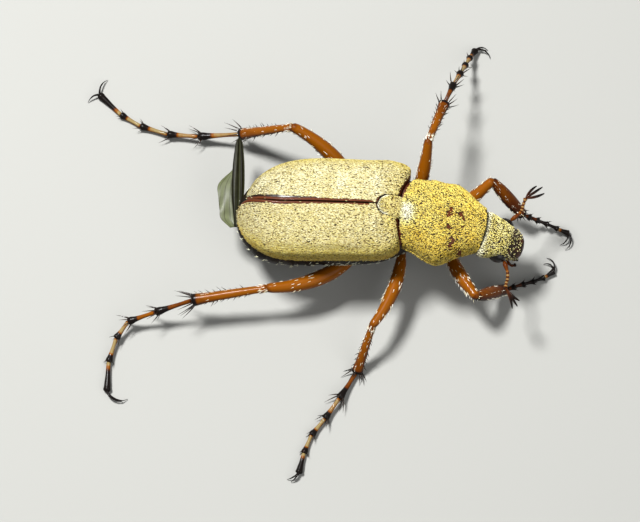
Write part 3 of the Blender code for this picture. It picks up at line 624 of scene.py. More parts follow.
def wingCases():
    # each case's outer and inner surface joined at the rims, with bare shell beside the seam
    for side, hand in hands:
        u, v = np.meshgrid(np.linspace(0, 1, wingCase["rows"]), np.linspace(0, 1, wingCase["across"]) ** 1.6,
                           indexing="ij")
        outer = wingCaseSurface(u, v, hand)
        inner = wingCaseSurface(u, v, hand, wingCase["shell"])[:, ::-1]
        section = wingCaseSection(u, v, hand)
        clear = section[4] - section[5]
        # the red-brown strip stops short of the gap at the seam and of the scales' edge, so the dark bands
        # left there are painted shade
        strip = smoothStep(0.004, 0.02, clear) * (1 - smoothStep(0.08, 0.14, clear)) * (section[0] > 0.9)
        tone = 0.05 + 0.45 * strip + 0.40 * (1 - smoothStep(0.0, 0.03, u)) * (clear > 0.02)
        tubePiece("wingCase" + side, np.concatenate([outer, inner], 1)[None], "cuticle",
                  ("elytron_" + side.lower(),), np.concatenate([tone, 0.3 + 0 * tone], 1)[None])
        layScales("wingCaseScales" + side, lambda u, v, hand=hand: wingCaseSurface(u, v, hand),
                  stand(elytraPlace, -3.4, 0.0, 2.4), backward(elytraPlace),
                  lambda points, u, v, hand=hand: wingWarmth(points, u, v, hand), wingScales,
                  lambda u, v, points, hand=hand: wingDensity(u, v, points, hand), 20 + hand)


wingCases()
print("wing cases done")


def tongueSurface(u, v):
    # a polar net over the tongue's outline, u from the middle to the edge and v once round;
    # the height comes from the table and falls as u^2 and u^10 toward the edge
    u, v = np.clip(u, 0, 1), v % 1
    angle = fullTurn * v
    behind = tongue["middle"] + tongue["reach"] * bent(np.sin(angle), 0.9) * u
    y = tongueHalf(behind) * bent(np.cos(angle), 0.5) * u
    z = curveThrough(tongue["stations"], tongue["heights"], behind) - 0.03 * u ** 2 - 0.10 * u ** 10
    return stand(elytraPlace, -behind, y, z)


def tongueWarmth(points, u, v):
    # straw, cream round its hind edge
    return 0.34 - 0.34 * smoothStep(0.66, 0.92, u) * smoothStep(0.0, 0.5, np.sin(fullTurn * v))


def scutellum():
    # the tongue's net and a short wall straight down under its edge
    top = tongueSurface(*roundNet(tongue["rows"], tongue["sides"], 0.02))
    wall = top[-1:] + np.array([0, 0, -1]) * np.linspace(*tongue["wall"])[:, None, None]
    grid = np.concatenate([top, wall])[None]
    tubePiece("scutellumPlate", grid, "cuticle", ("scutellum",),
              np.full(grid.shape[:3], 0.35))
    layScales("scutellumScales", tongueSurface, stand(elytraPlace, -0.6, 0.0, 3.0), backward(elytraPlace),
              tongueWarmth, tongueScales,
              lambda u, v, points: 1.0 - smoothStep(0.97, 1.0, u), 31)


scutellum()
print("scutellum done")


thoraxPlace = {"x": 3.55, "y": 1.50, "turn": -11.0}
thorax = {
    "length": 2.98,
    "edge": 3.2,
    "rows": 96,
    "sides": 104,
    # share of the length against half width, top and bottom heights
    "stations": (0.0, 0.06, 0.14, 0.28, 0.4, 0.46, 0.56, 0.7, 0.84, 0.94, 1.0),
    "widths": (1.38, 1.42, 1.46, 1.61, 1.70, 1.715, 1.63, 1.39, 1.10, 0.93, 0.86),
    "tops": (4.17, 4.22, 4.25, 4.29, 4.3, 4.29, 4.25, 4.14, 3.97, 3.82, 3.70),
    "bottoms": (1.9, 1.84, 1.8, 1.74, 1.73, 1.74, 1.8, 1.92, 2.1, 2.25, 2.34),
    "bow": 0.32,                # how far the hind margin bulges back in the middle
    "skew": 0.09,               # the hind margin lies a little to the left
    "dent": (0.02, 0.12),       # depth and width of the middle furrow
    "frontBow": 0.10,           # how far the front margin bulges ahead
    "ridge": (0.03, 0.08),      # height and width, in radians, of the side edge
    # side hollows, left and right: depth, share of the length, spread
    "hollows": ((0.16, 0.43, 0.13), (0.11, 0.68, 0.14)),
    # rings that roll in the hind and front ends: shift ahead in mm, size
    "rolls": (((0.16, 0.72), (0.10, 0.86), (0.01, 0.96)), ((-0.02, 0.95), (-0.12, 0.86), (-0.3, 0.74))),
    # rubbed places: x ahead, y, radius
    "rubbed": ((1.59, 0.08, 0.19), (1.62, 0.26, 0.13), (2.04, 0.20, 0.14), (2.18, 0.05, 0.11),
               (1.65, -0.45, 0.13), (1.87, -0.89, 0.19), (1.80, -1.12, 0.16), (2.27, -1.18, 0.20),
               (2.20, -0.30, 0.08)),
    "spread": 24,               # degrees by which scales turn outward for each mm from the middle line
}
thoraxScales = {"tries": 56000, "length": 0.10, "width": 0.036, "lift": 0.024, "depth": 0.014, "stray": 20,
                "tint": (0.72, 1.1), "dimShare": 0.27, "even": 0, "dimTint": (0.0, 0.16),
                "bands": (0.2, 0.55, 0.95, 0.55, 1.0)}


def thoraxSurface(u, v):
    # u runs from the hind margin to the front and v once round: y = width * cos^0.92 and
    # z = edge + (top or bottom - edge) * sin^0.92, the hind margin bowed back by bow * (1 - (y / width)^2)
    u = np.clip(u, 0, 1)
    angle = fullTurn * v
    width, top, bottom = (curveThrough(thorax["stations"], thorax[key], u)
                          for key in ("widths", "tops", "bottoms"))
    y = width * bent(np.cos(angle), 0.92)
    rise = np.where(np.sin(angle) > 0, top - thorax["edge"], thorax["edge"] - bottom)
    z = thorax["edge"] + rise * bent(np.sin(angle), 0.92)
    above = np.clip(np.sin(angle), 0, 1)
    inward = 1 - (y / width) ** 2
    bow = thorax["bow"] * inward * (1 - u) ** 2 * smoothStep(0, 0.4, above)
    depth, wide = thorax["dent"]
    dent = depth * hump(y, 0, wide) * above * smoothStep(0.35, 0.8, u)
    front = thorax["frontBow"] * inward * u ** 6 * above
    y = y + thorax["skew"] * (1 - smoothStep(0.0, 0.4, u))
    for half, (depth, place, wide) in zip((np.maximum(y, 0), np.minimum(y, 0)), thorax["hollows"]):
        y = y - depth * half / width * hump(u, place, wide)
    height, wide = thorax["ridge"]
    ridge = height * hump(angle % math.pi, 0, wide)
    return stand(thoraxPlace, thorax["length"] * u - bow + front, y + ridge * np.sign(y), z - dent)


def thoraxLocal(points):
    # the reverse of stand() for the thorax plate
    turn = math.radians(thoraxPlace["turn"])
    dx, dy = points[..., 0] - thoraxPlace["x"], points[..., 1] - thoraxPlace["y"]
    return np.stack([dx * math.cos(turn) + dy * math.sin(turn),
                     -dx * math.sin(turn) + dy * math.cos(turn)], -1)


def thoraxWarmth(points, u, v):
    # golden, paler in the middle of the hind margin where a highlight is painted, and greener to the right
    local = thoraxLocal(points)
    paintedHighlight = hump(local[..., 0], -0.05, 0.3) * hump(local[..., 1], -0.1, 0.42)
    return (0.58 - 0.62 * paintedHighlight + 0.1 * smoothStep(0.2, 1.5, -local[..., 1])
            + 0.06 * smoothStep(0.5, 3, local[..., 0])
            + 0.06 * waves(points, 0.8, 5) + 0.05 * waves(points, 0.3, 6))


def thoraxLie(points):
    # scales point backward and turn outward with the distance from the middle line
    return -heading(thoraxPlace["turn"] - thorax["spread"] * thoraxLocal(points)[..., 1], 0)


def rubbedShare(points):
    # 1 in the middle of a rubbed place, 0 away from it, with a ragged edge
    local = thoraxLocal(points)
    share = np.zeros(local.shape[:-1])
    for x, y, radius in thorax["rubbed"]:
        away = np.hypot(local[..., 0] - x, local[..., 1] - y) / radius
        share = np.maximum(share, 1 - smoothStep(0.5, 1.15, away + 0.35 * waves(points, 0.16, 9)))
    return share


def thoraxDensity(u, v, points):
    # full above, a quarter below and hardly any on the rubbed places
    speckle = 0.86 + 0.14 * waves(points, 0.22, 12)
    below = smoothStep(-0.35, -0.05, np.sin(fullTurn * v))
    return (1 - 0.92 * rubbedShare(points)) * speckle * (0.25 + 0.75 * below)


def thoraxPlate():
    # the plate's net with three rings rolled in at either end
    u, v = roundNet(thorax["rows"], thorax["sides"])
    shell = thoraxSurface(u, v)
    # both open ends are rolled in, so that the margins have a thickness and a dark hollow behind
    ahead, ends = heading(thoraxPlace["turn"], 0), []
    for ring, steps in zip((shell[0], shell[-1]), thorax["rolls"]):
        middle = ring.mean(0)
        ends.append(np.stack([middle + (ring - middle) * size + ahead * shift for shift, size in steps]))
    tone = 0.12 + 0.34 * rubbedShare(shell) + 0.3 * (1 - smoothStep(0, 0.02, u))
    tone = np.concatenate([0 * tone[:3] + 0.5, tone, 0 * tone[:3] + 0.05])
    tubePiece("thoraxPlate", np.concatenate([ends[0], shell, ends[1]])[None], "cuticle",
              ("pronotum",), tone[None])
    layScales("thoraxScales", thoraxSurface, stand(thoraxPlace, 1.5, 0.0, 3.0), thoraxLie, thoraxWarmth,
              thoraxScales, thoraxDensity, 41)


thoraxPlate()
print("thorax done")


headPlace = {"x": 6.62, "y": 0.78, "turn": -15.0}
head = {
    "rows": 150,
    "sides": 132,
    "start": -0.35, "reach": 1.895,     # mm ahead at the neck, and from there to the front margin
    # x ahead against half width, bottom, edge and top heights
    "stations": (-0.35, -0.1, 0.12, 0.35, 0.6, 0.85, 1.05, 1.22, 1.36, 1.46, 1.52, 1.545),
    "widths": (0.80, 0.90, 0.86, 0.79, 0.72, 0.65, 0.63, 0.59, 0.50, 0.38, 0.23, 0.05),
    "bottoms": (2.55, 2.45, 2.3, 2.2, 2.12, 2.08, 2.08, 2.12, 2.2, 2.26, 2.32, 2.4),
    "edges": (3.05, 3.04, 3.02, 2.98, 2.92, 2.80, 2.66, 2.54, 2.48, 2.46, 2.46, 2.46),
    "tops": (3.46, 3.52, 3.56, 3.55, 3.48, 3.32, 3.14, 2.95, 2.80, 2.69, 2.62, 2.54),
    "faceLine": 0.98,      # scales end here and the bare face shield starts
    "seam": (0.03, 0.05),  # depth and width of the line across the face
    "dish": 0.035,         # depth of the shallow dish ahead of it
    "rim": 0.06,           # height of the upturned front margin
    "sideRim": 0.03,
    "rough": 0.012,
}
headScales = {"tries": 27000, "length": 0.09, "width": 0.036, "lift": 0.022, "depth": 0.012, "stray": 24,
              "tint": (0.75, 1.1), "dimShare": 0.22, "even": 0, "dimTint": (0.0, 0.2),
              "bands": (0.2, 0.55, 0.95, 0.55, 1.0)}
eye = {"x": 0.60, "y": 0.63, "z": 2.80, "radii": (0.36, 0.30, 0.30), "rows": 40, "sides": 48}


def headReach(u):
    # distance ahead of the head's measuring point: start + reach * sin^0.8 over a quarter turn
    return head["start"] + head["reach"] * np.sin(0.5 * math.pi * u) ** 0.8


def headSurface(u, v):
    # u runs from the neck to the front margin and v once round, oval sections as on the thorax plate
    ahead = headReach(np.clip(u, 0, 1))
    angle = fullTurn * v
    width, bottom, edge, top = (curveThrough(head["stations"], head[key], ahead)
                                for key in ("widths", "bottoms", "edges", "tops"))
    y = width * bent(np.cos(angle), 0.85)
    rise = np.where(np.sin(angle) > 0, top - edge, edge - bottom)
    z = edge + rise * bent(np.sin(angle), 0.85)
    above = smoothStep(0.1, 0.6, np.sin(angle))
    # a seam across the face, a shallow dish ahead of it and an upturned front margin
    depth, wide = head["seam"]
    seam = -depth * hump(ahead, head["faceLine"], wide)
    dish = -head["dish"] * smoothStep(1.0, 1.2, ahead) * (1 - (y / width) ** 2)
    rim = (head["rim"] * smoothStep(1.32, 1.46, ahead) * (1 - smoothStep(1.49, 1.54, ahead))
           + head["sideRim"] * smoothStep(1.02, 1.2, ahead) * (1 - smoothStep(1.25, 1.45, ahead))
           * np.abs(y / width) ** 4)
    spots = stand(headPlace, ahead, y, z)
    rough = (head["rough"] * waves(spots, 0.10, 33) * smoothStep(head["faceLine"], 1.05, ahead)
             * (1 - smoothStep(1.45, 1.52, ahead)))
    return spots + np.stack([0 * z, 0 * z, above * (seam + dish + rim + rough)], -1)


def headWarmth(points, u, v):
    # olive gold, paler at the neck and cream on the face shield
    ahead = headReach(u)
    return (0.40 + 0.08 * waves(points, 0.5, 15) - 0.3 * (1 - smoothStep(0.0, 0.2, ahead))
            - 0.08 * smoothStep(head["faceLine"] - 0.05, head["faceLine"] + 0.1, ahead))


def headDensity(u, v, points):
    # full on the brow, a fifth on the face shield and none on its margin
    ahead = headReach(u)
    edge = head["faceLine"] + 0.05 * waves(points, 0.2, 17)
    return (smoothStep(-0.2, -0.1, ahead) * (1 - 0.80 * smoothStep(-0.06, 0.06, ahead - edge))
            * (ahead < 1.46) * (0.3 + 0.7 * smoothStep(-0.2, 0.1, np.sin(fullTurn * v)))
            * (0.9 + 0.1 * waves(points, 0.2, 18)))


def headCapsule():
    # one net from the neck to the front margin, pitted where the face shield is bare
    u, v = roundNet(head["rows"], head["sides"], 0.02)
    grid = headSurface(u, v)
    face = smoothStep(head["faceLine"] - 0.03, head["faceLine"] + 0.05, headReach(u))
    tone = 0.10 + 0.04 * face + 0.10 * waves(grid, 0.35, 34) * face
    points, faces = closedTubes(grid[None])
    makePiece("headCapsule", points, faces, looks["cuticle"], ("head",),
              {"tone": endMarks(tone[None]), "pits": endMarks(face[None])})
    layScales("headScales", headSurface, stand(headPlace, 0.6, 0.0, 2.7), backward(headPlace), headWarmth,
              headScales, headDensity, 51)


def eyes():
    # ellipsoids half sunk in the sides of the head, their poles at the left and right
    for side, hand in hands:
        polar, angle = np.meshgrid(np.linspace(0.03, math.pi - 0.03, eye["rows"]), roundAngles(eye["sides"]),
                                   indexing="ij")
        long, out, tall = eye["radii"]
        ball = stand(headPlace, eye["x"] + long * np.sin(polar) * np.cos(angle),
                     hand * (eye["y"] + out * np.cos(polar)), eye["z"] + tall * np.sin(polar) * np.sin(angle))
        points, faces = closedTubes(ball[None])
        makePiece("eye" + side, points, faces, looks["eye"], ("eye_" + side.lower(),))


headCapsule()
eyes()
print("head done")


trunk = {
    "rows": 190,
    "sides": 84,
    "start": -1.0, "reach": 7.74,       # mm behind at the neck, and from there to the tail
    # distance behind the wing cases' front against half width, top and bottom heights
    "stations": (-1.0, -0.5, 0.0, 0.4, 0.9, 1.6, 2.6, 3.6, 4.4, 5.1, 5.7, 6.0, 6.3, 6.52, 6.67, 6.74),
    "left": (0.8, 1.30, 1.50, 1.72, 1.92, 2.04, 2.08, 2.08, 2.05, 1.94, 1.72, 1.50, 1.20, 0.86, 0.5, 0.12),
    "right": (0.8, 1.15, 1.36, 1.55, 1.74, 1.86, 1.93, 1.96, 1.94, 1.84, 1.70, 1.50, 1.20, 0.86, 0.5, 0.12),
    "tops": (3.1, 3.75, 3.92, 3.85, 3.7, 3.6, 3.6, 3.6, 3.6, 3.5, 3.35, 3.15, 2.92, 2.72, 2.55, 2.35),
    "bottoms": (2.0, 1.85, 1.6, 1.42, 1.32, 1.28, 1.28, 1.28, 1.32, 1.4, 1.52, 1.62, 1.74, 1.88, 2.02, 2.2),
    "middle": 2.42,
    "drift": 0.13,         # the tail end lies a little to the right
    "rings": (2.85, 3.65, 4.35, 4.95, 5.5, 6.1),    # grooves between the belly's plates
    "groove": (0.022, 0.04),    # depth as a share of the size, width in mm
    "plate": (0.012, 0.72),     # swell of the plates and their length in mm
    "hairRows": 0.36,           # mm between the rows of hairs on the belly
}
trunkHairs = {"tries": 26000, "length": 0.17, "width": 0.018, "lift": 0.03, "depth": 0.006, "stray": 35,
              "tint": (0.7, 1.0), "dimShare": 0.1, "even": 0, "dimTint": (0.3, 0.6), "bands": (1, 1, 1, 1, 1)}


def trunkSurface(u, v):
    # u from the neck to the tail and v once round: y = width * cos^0.8 (squarer in front, under the
    # thorax plate), z = middle + rise * sin^0.9, pinched by a small Gaussian at each groove
    behind = trunk["start"] + trunk["reach"] * np.sin(0.5 * math.pi * np.clip(u, 0, 1))
    angle = fullTurn * v
    left, right, top, bottom = (curveThrough(trunk["stations"], trunk[key], behind)
                                for key in ("left", "right", "tops", "bottoms"))
    width = np.where(np.cos(angle) > 0, left, right)
    square = 0.8 - 0.45 * (1 - smoothStep(0.2, 1.0, behind)) * (np.sin(angle) > 0)
    depth, wide = trunk["groove"]
    pinch = 1 - depth * sum(hump(behind, groove, wide) for groove in trunk["rings"])
    amount, length = trunk["plate"]
    swell = (1 + amount * np.sin(fullTurn * (behind - trunk["rings"][0]) / length)
             * smoothStep(2.6, 3.0, behind))
    y = width * bent(np.cos(angle), square) * pinch * swell - trunk["drift"] * smoothStep(3.0, 5.6, behind)
    rise = np.where(np.sin(angle) > 0, top - trunk["middle"], trunk["middle"] - bottom)
    z = trunk["middle"] + rise * bent(np.sin(angle), 0.9) * pinch
    return stand(elytraPlace, -behind, y, z)


def trunkDensity(u, v, points):
    # a line of hairs below the wing cases' edge, there as pale hairs and as a painted glint line, few on the
    # sides and rows of them on the belly
    height = points[..., 2]
    rows = 0.5 + 0.5 * np.sin(fullTurn * (points[..., 0]) / trunk["hairRows"])
    return (0.3 * hump(height, 2.48, 0.05) + 0.05 * (height < 2.9)
            + (0.05 + 0.24 * (height < 2.0) * rows) * (height < 2.4))


def trunkSkin():
    # one net from the neck to the tail, redder where it passes under the thorax plate
    u, v = roundNet(trunk["rows"], trunk["sides"])
    grid = trunkSurface(u, v)
    tone = (0.1 + 0.1 * waves(grid, 0.8, 21)
            + 0.5 * (1 - smoothStep(0.1, 0.2, u)) * smoothStep(3.0, 3.5, grid[..., 2]))
    tubePiece("trunkSkin", grid[None], "body", ("metathorax", "abdomen", "pygidium"), tone[None])
    layScales("trunkHairs", trunkSurface, stand(elytraPlace, -3.5, 0.0, 2.4), backward(elytraPlace),
              lambda points, u, v: 0.05 + 0 * u, trunkHairs, trunkDensity, 61)


trunkSkin()
print("trunk done")


legSizes = {
    "front": {"femur": 2.6, "tibia": 2.25, "thick": 0.31, "shin": 0.25},
    "middle": {"femur": 3.55, "tibia": 2.25, "thick": 0.30, "shin": 0.185},
    "hind": {"femur": 4.0, "tibia": 3.08, "thick": 0.34, "shin": 0.20},
}
legPoses = {
    "front_left": {"hip": (5.10, 1.80, 1.45), "bow": 0.0, "tarsus": (0.44, 0.43, 0.44, 0.46, 0.50),
                   "turns": ((36, 31), (-35, -46), (-8, -36), (-9, -34), (-16, -18), (-20, -16), (-17, -20)),
                   "claws": ((-45, -150, 0.80), (-75, -170, 0.65))},
    "front_right": {"hip": (5.10, 0.65, 1.45), "bow": -0.10, "tarsus": (0.44, 0.43, 0.44, 0.46, 0.50),
                    "turns": ((-63, 18), (32, -49), (18, -2), (20, -13), (18, -8), (24, -11), (34, -12)),
                    "claws": ((60, 160, 0.75), (80, 190, 0.60))},
    "middle_left": {"hip": (3.68, 2.15, 1.50), "bow": 0.10, "tarsus": (1.47, 1.09, 0.93, 0.73, 0.62),
                    "turns": ((74, 51), (70, -26), (69, -34), (66, -41), (68, -45), (67, -41), (61, -36)),
                    "claws": ((30, -75, 0.80), (50, -30, 0.60))},
    "middle_right": {"hip": (3.30, 0.70, 1.50), "bow": 0.28, "tarsus": (1.38, 0.99, 0.86, 0.79, 0.85),
                     "turns": ((-110, 6), (-112, -45), (-122, 6), (-126, -6), (-129, -3),
                               (-112, -1), (-104, -1)),
                     "claws": ((-125, -175, 0.55), (-110, -150, 0.50))},
    "hind_left": {"hip": (1.64, 2.90, 1.40), "bow": 0.32, "tarsus": (1.88, 1.28, 1.20, 0.96, 1.28),
                  "turns": ((139, 26), (168, -45), (178, -14), (173, -7), (161, -4), (148, -2), (136, -1)),
                  "claws": ((100, 35, 0.80), (180, 240, 0.60))},
    "hind_right": {"hip": (1.56, 0.50, 1.50), "bow": 0.40, "tarsus": (1.66, 1.20, 0.84, 1.00, 1.22),
                   "turns": ((-156, 7), (-173, -9), (-167, -18), (-166, -18), (-127, -14),
                             (-107, -7), (-92, -2)),
                   "claws": ((-80, 35, 1.05), (-70, 5, 0.75))},
}
legTones = {
    # 0.2 pale, 0.5 amber, 0.75 rust, 1 black
    "femur": 0.38,
    "tibia": {"front": 0.66, "middle": 0.54, "hind": 0.46},
    # at the root of each of the four short tarsal joints
    "tarsus": {"front": (0.72, 0.8, 0.95, 1.0), "middle": (0.66, 0.24, 0.2, 0.18),
               "hind": (0.66, 0.56, 0.22, 0.2), "hind_left": (0.24, 0.24, 0.2, 0.18)},
    # painted shade: how much darker the flanks and underside of legs and feet are painted, as if lit from
    # above
    "paintedShade": {"leg": 0.22, "tarsus": 0.3},      # how much darker the flanks and the underside are
}
limbShape = {
    "rings": 40,
    "sides": 20,
    "footSides": 14,
    # share of the length against thickness as a share of the thickest
    "coxa": ((0, 0.1, 0.6, 0.95, 1.08, 1.1), (0.5, 0.9, 1.05, 1.0, 0.6, 0.2)),
    "femur": ((0.0, 0.02, 0.07, 0.16, 0.3, 0.45, 0.62, 0.8, 0.92, 0.985, 1.02, 1.035),
              (0.3, 0.55, 0.62, 0.78, 0.95, 1.0, 0.93, 0.78, 0.68, 0.62, 0.45, 0.12)),
    "tibia": ((-0.02, 0.0, 0.05, 0.12, 0.3, 0.55, 0.78, 0.9, 0.97, 1.01, 1.02),
              (0.2, 0.62, 0.82, 0.76, 0.82, 0.92, 1.02, 1.15, 1.22, 1.0, 0.3)),
    "frontTibia": ((-0.02, 0.0, 0.05, 0.12, 0.3, 0.55, 0.78, 0.9, 0.97, 1.01, 1.02),
                   (0.2, 0.55, 0.74, 0.82, 1.0, 1.08, 1.02, 0.94, 0.9, 0.7, 0.25)),
    "tarsus": ((-0.03, 0.0, 0.08, 0.3, 0.6, 0.76, 0.88, 0.96, 1.0, 1.01),
               (0.2, 0.62, 0.74, 0.70, 0.86, 1.08, 1.38, 1.3, 0.9, 0.3)),
    "lastJoint": ((-0.03, 0, 0.1, 0.4, 0.8, 0.95, 1.02), (0.2, 0.6, 0.7, 0.8, 1.15, 1.2, 0.3)),
    "coxaThick": 0.34,
    "coxaRoot": {"front": 1.22, "middle": 1.42, "hind": 1.70},      # y of the body's middle line there
    "tarsusThick": {"front": 0.10, "middle": 0.115, "hind": 0.12},
    "thinner": 0.04,       # each tarsal joint by this share
    "drop": 0.13,          # how much lower the slender feet stand than thick ones would
}
claw = {
    "thick": 0.066, "taper": 0.86, "flat": 0.75, "rise": 0.10, "low": 0.022,
    # a tooth splits off at this share of the claw: its length as a share, how far it sinks, its thickness
    "fork": 0.55, "toothLength": 0.26, "toothSink": 0.07,
    "toothThick": 0.034, "toothTaper": 0.8, "toothLow": 0.02,
}
spurSizes = {
    "front": {"tibia": 0.26, "tarsus": (0.13, 0.12, 0.12, 0.10), "shaft": 0.12},
    "middle": {"tibia": 0.50, "tarsus": (0.50, 0.38, 0.26, 0.20), "shaft": 0.22},
    "hind": {"tibia": 0.70, "tarsus": (0.60, 0.46, 0.32, 0.24), "shaft": 0.28},
}
# spurs: number, angles round the limb and how far each strays, share of the limb's length, distance from
# its axis in mm, least and most length as a share of the size above, and lean toward the limb's end
spurRings = {
    "shinEnd": {"count": 10, "round": (-15, 300), "turn": 12, "shares": (0.945, 0.975), "reach": 0.19,
                "size": (0.6, 1.2), "lean": (40, 62)},
    "shinSides": {"count": 18, "round": (5, 172), "turn": 25, "shares": (0.28, 0.9), "reach": 0.16,
                  "size": (0.8, 1.2), "lean": (25, 45)},
    "jointEnds": {"counts": (7, 7, 5, 5), "round": (-20, 290), "turn": 14, "share": 0.9, "reach": 0.13,
                  "size": (0.6, 1.15), "lean": (28, 58)},
}
# pale bristles: the reach is a share of the limb's thickness, at the knee in mm
bristleSets = {
    "thigh": {"count": 56, "shares": (0.1, 0.95), "reach": 1.2, "size": (0.09, 0.16), "lean": (70, 84)},
    "fringe": {"count": 30, "shares": (0.15, 0.97), "reach": 1.15, "size": (0.1, 0.2), "lean": (35, 60)},
    "shin": {"count": 90, "shares": (0.05, 0.95), "reach": 1.2, "size": (0.08, 0.15), "lean": (62, 80)},
    "knee": {"count": 60, "shares": (-0.01, 0.08), "reach": 0.16, "size": (0.09, 0.18), "lean": (50, 80)},
}
fringeAngle = {"left": 218, "right": -38}
thornThick = {"spur": 0.029, "bristle": 0.017}


def legJoints(leg):
    # hip, knee, ankle and the ends of the five tarsal joints, the low ones let down onto slender feet
    pose, sizes = legPoses[leg], legSizes[leg.split("_")[0]]
    lengths = np.array((sizes["femur"], sizes["tibia"]) + pose["tarsus"])[:, None]
    turns = np.array(pose["turns"], float)
    steps = heading(turns[:, 0], turns[:, 1]) * lengths
    joints = np.concatenate([np.zeros((1, 3)), np.cumsum(steps, 0)]) + np.array(pose["hip"])
    low = np.clip(1 - (joints[:, 2] - 0.25) / 1.2, 0, 1)
    low[:2] = 0
    joints[:, 2] = np.maximum(joints[:, 2] - limbShape["drop"] * low, limbShape["drop"])
    return joints


def femurBow(leg):
    # thighs curve outward: a sideways bow square to the thigh's heading, and a little upward
    turn, hand = math.radians(legPoses[leg]["turns"][0][0]), 1 if leg.endswith("left") else -1
    bow = -hand * legPoses[leg]["bow"]
    return np.array([-math.sin(turn) * bow, math.cos(turn) * bow, 0.04])


def limbTube(start, end, shape, thick, flatten=1.0, bow=(0, 0, 0), sides=limbShape["sides"]):
    # a path from start to end bowed by bow * 4t(1 - t), with the thickness read from the shape's table
    keys, values = shape
    share = np.linspace(keys[0], keys[-1], limbShape["rings"])
    extra = np.array([keys[0] + 0.004, keys[-1] - 0.004])
    share = np.sort(np.concatenate([share, extra]))
    inside = np.clip(share, 0, 1)
    path = start + (end - start) * share[:, None] + np.array(bow) * (4 * inside * (1 - inside))[:, None]
    radius = thick * curveThrough(keys, values, share)
    return ringsAlong(path, radius * flatten, radius, sides), share


def shadeRound(tone, sides, amount):
    # a limb's tone along its length, with painted shade darker toward its flanks and underside
    height = np.sin(roundAngles(sides))
    return (tone[:, None] + amount * (1 - smoothStep(-0.1, 0.75, height)))[None]


def thornsOnLimb(start, end, shares, angles, reach, lengths, leans, bow=(0, 0, 0)):
    # roots on a limb's surface and directions that lean from its normal toward its end
    along = unit(end - start)
    side = unit(np.cross(along, (0, 0, 1)))
    up = np.cross(side, along)
    angles, leans = np.radians(angles)[:, None], np.radians(leans)[:, None]
    out = side * np.cos(angles) + up * np.sin(angles)
    roots = (start + (end - start) * shares[:, None] + out * (reach * 0.8)[:, None]
             + np.array(bow) * (4 * shares * (1 - shares))[:, None])
    return roots, unit(out * np.cos(leans) + along * np.sin(leans)), lengths, along


def joinThorns(name, groups, thick, look, sides, rings):
    # all thorns of one kind on a leg as one piece, the pale bristles each with its own random tint
    roots, ways, lengths = [np.concatenate([group[number] for group in groups]) for number in range(3)]
    droop = np.concatenate([np.tile(group[3] * 0.22, (len(group[0]), 1)) for group in groups])
    thick = thick * np.clip(0.55 + lengths / lengths.max(), 0.6, 1.3)
    grid = needles(roots, ways, lengths, thick, droop, sides, rings)
    grid[..., 2] = np.maximum(grid[..., 2], 0.004)
    points, faces = closedTubes(grid)
    marks = {}
    if look == "hair":
        marks["tint"] = endMarks(np.tile(rng.random(len(roots))[:, None, None], (1, rings, sides)))
    makePiece(name, points, faces, looks[look], marks=marks)


def clawPath(joints, first, final, length, share):
    # steps that turn from the first to the final heading; it rises a little and comes down to the floor
    turn = first + (final - first) * share
    steps = heading(turn, 0 * turn) * length / (len(share) - 1)
    path = joints[7] - unit(joints[7] - joints[6]) * 0.05 + np.cumsum(steps, 0) - steps[0]
    path[:, 2] = joints[7][2] * (1 - share ** 1.5) + claw["rise"] * np.sin(math.pi * share) + claw["low"]
    return path


def thighAndShin(leg, pair, name, joints, bow, shape):
    # the hip joint, thigh and shin as round tubes, darker or blacker by smooth steps at their ends
    hip, knee, ankle = joints[:3]
    sizes, paintedShade = legSizes[pair], legTones["paintedShade"]["leg"]
    # coxa from the middle line, and a small trochanter at the hip
    middle = limbShape["coxaRoot"][pair]
    root = np.array([hip[0], middle + math.copysign(0.1, hip[1] - middle), hip[2] + 0.05])
    coxa, share = limbTube(root, hip, limbShape["coxa"], limbShape["coxaThick"])
    tone = np.tile(0.62 + 0.2 * (share[:, None] < 0.2), (1, 1, coxa.shape[1]))
    tubePiece(name + "Coxa", coxa[None], "leg", (leg + "_coxa",), tone)
    femur, share = limbTube(hip, knee, limbShape["femur"], sizes["thick"], 0.9, bow)
    tone = legTones["femur"] + 0.22 * (1 - smoothStep(0.0, 0.25, share)) + 0.26 * smoothStep(0.95, 1.0, share)
    tubePiece(name + "Femur", femur[None], "leg", (leg + "_femur",),
              shadeRound(tone, femur.shape[1], paintedShade))
    tibia, share = limbTube(knee, ankle, shape, sizes["shin"], 1.0, (0, 0, 0.03))
    tone = (legTones["tibia"][pair] + 0.2 * (1 - smoothStep(0.02, 0.06, share))
            + 0.12 * smoothStep(0.4, 0.9, share) + 0.6 * smoothStep(0.93, 0.975, share))
    tubePiece(name + "Tibia", tibia[None], "leg", (leg + "_tibia",),
              shadeRound(tone, tibia.shape[1], paintedShade))


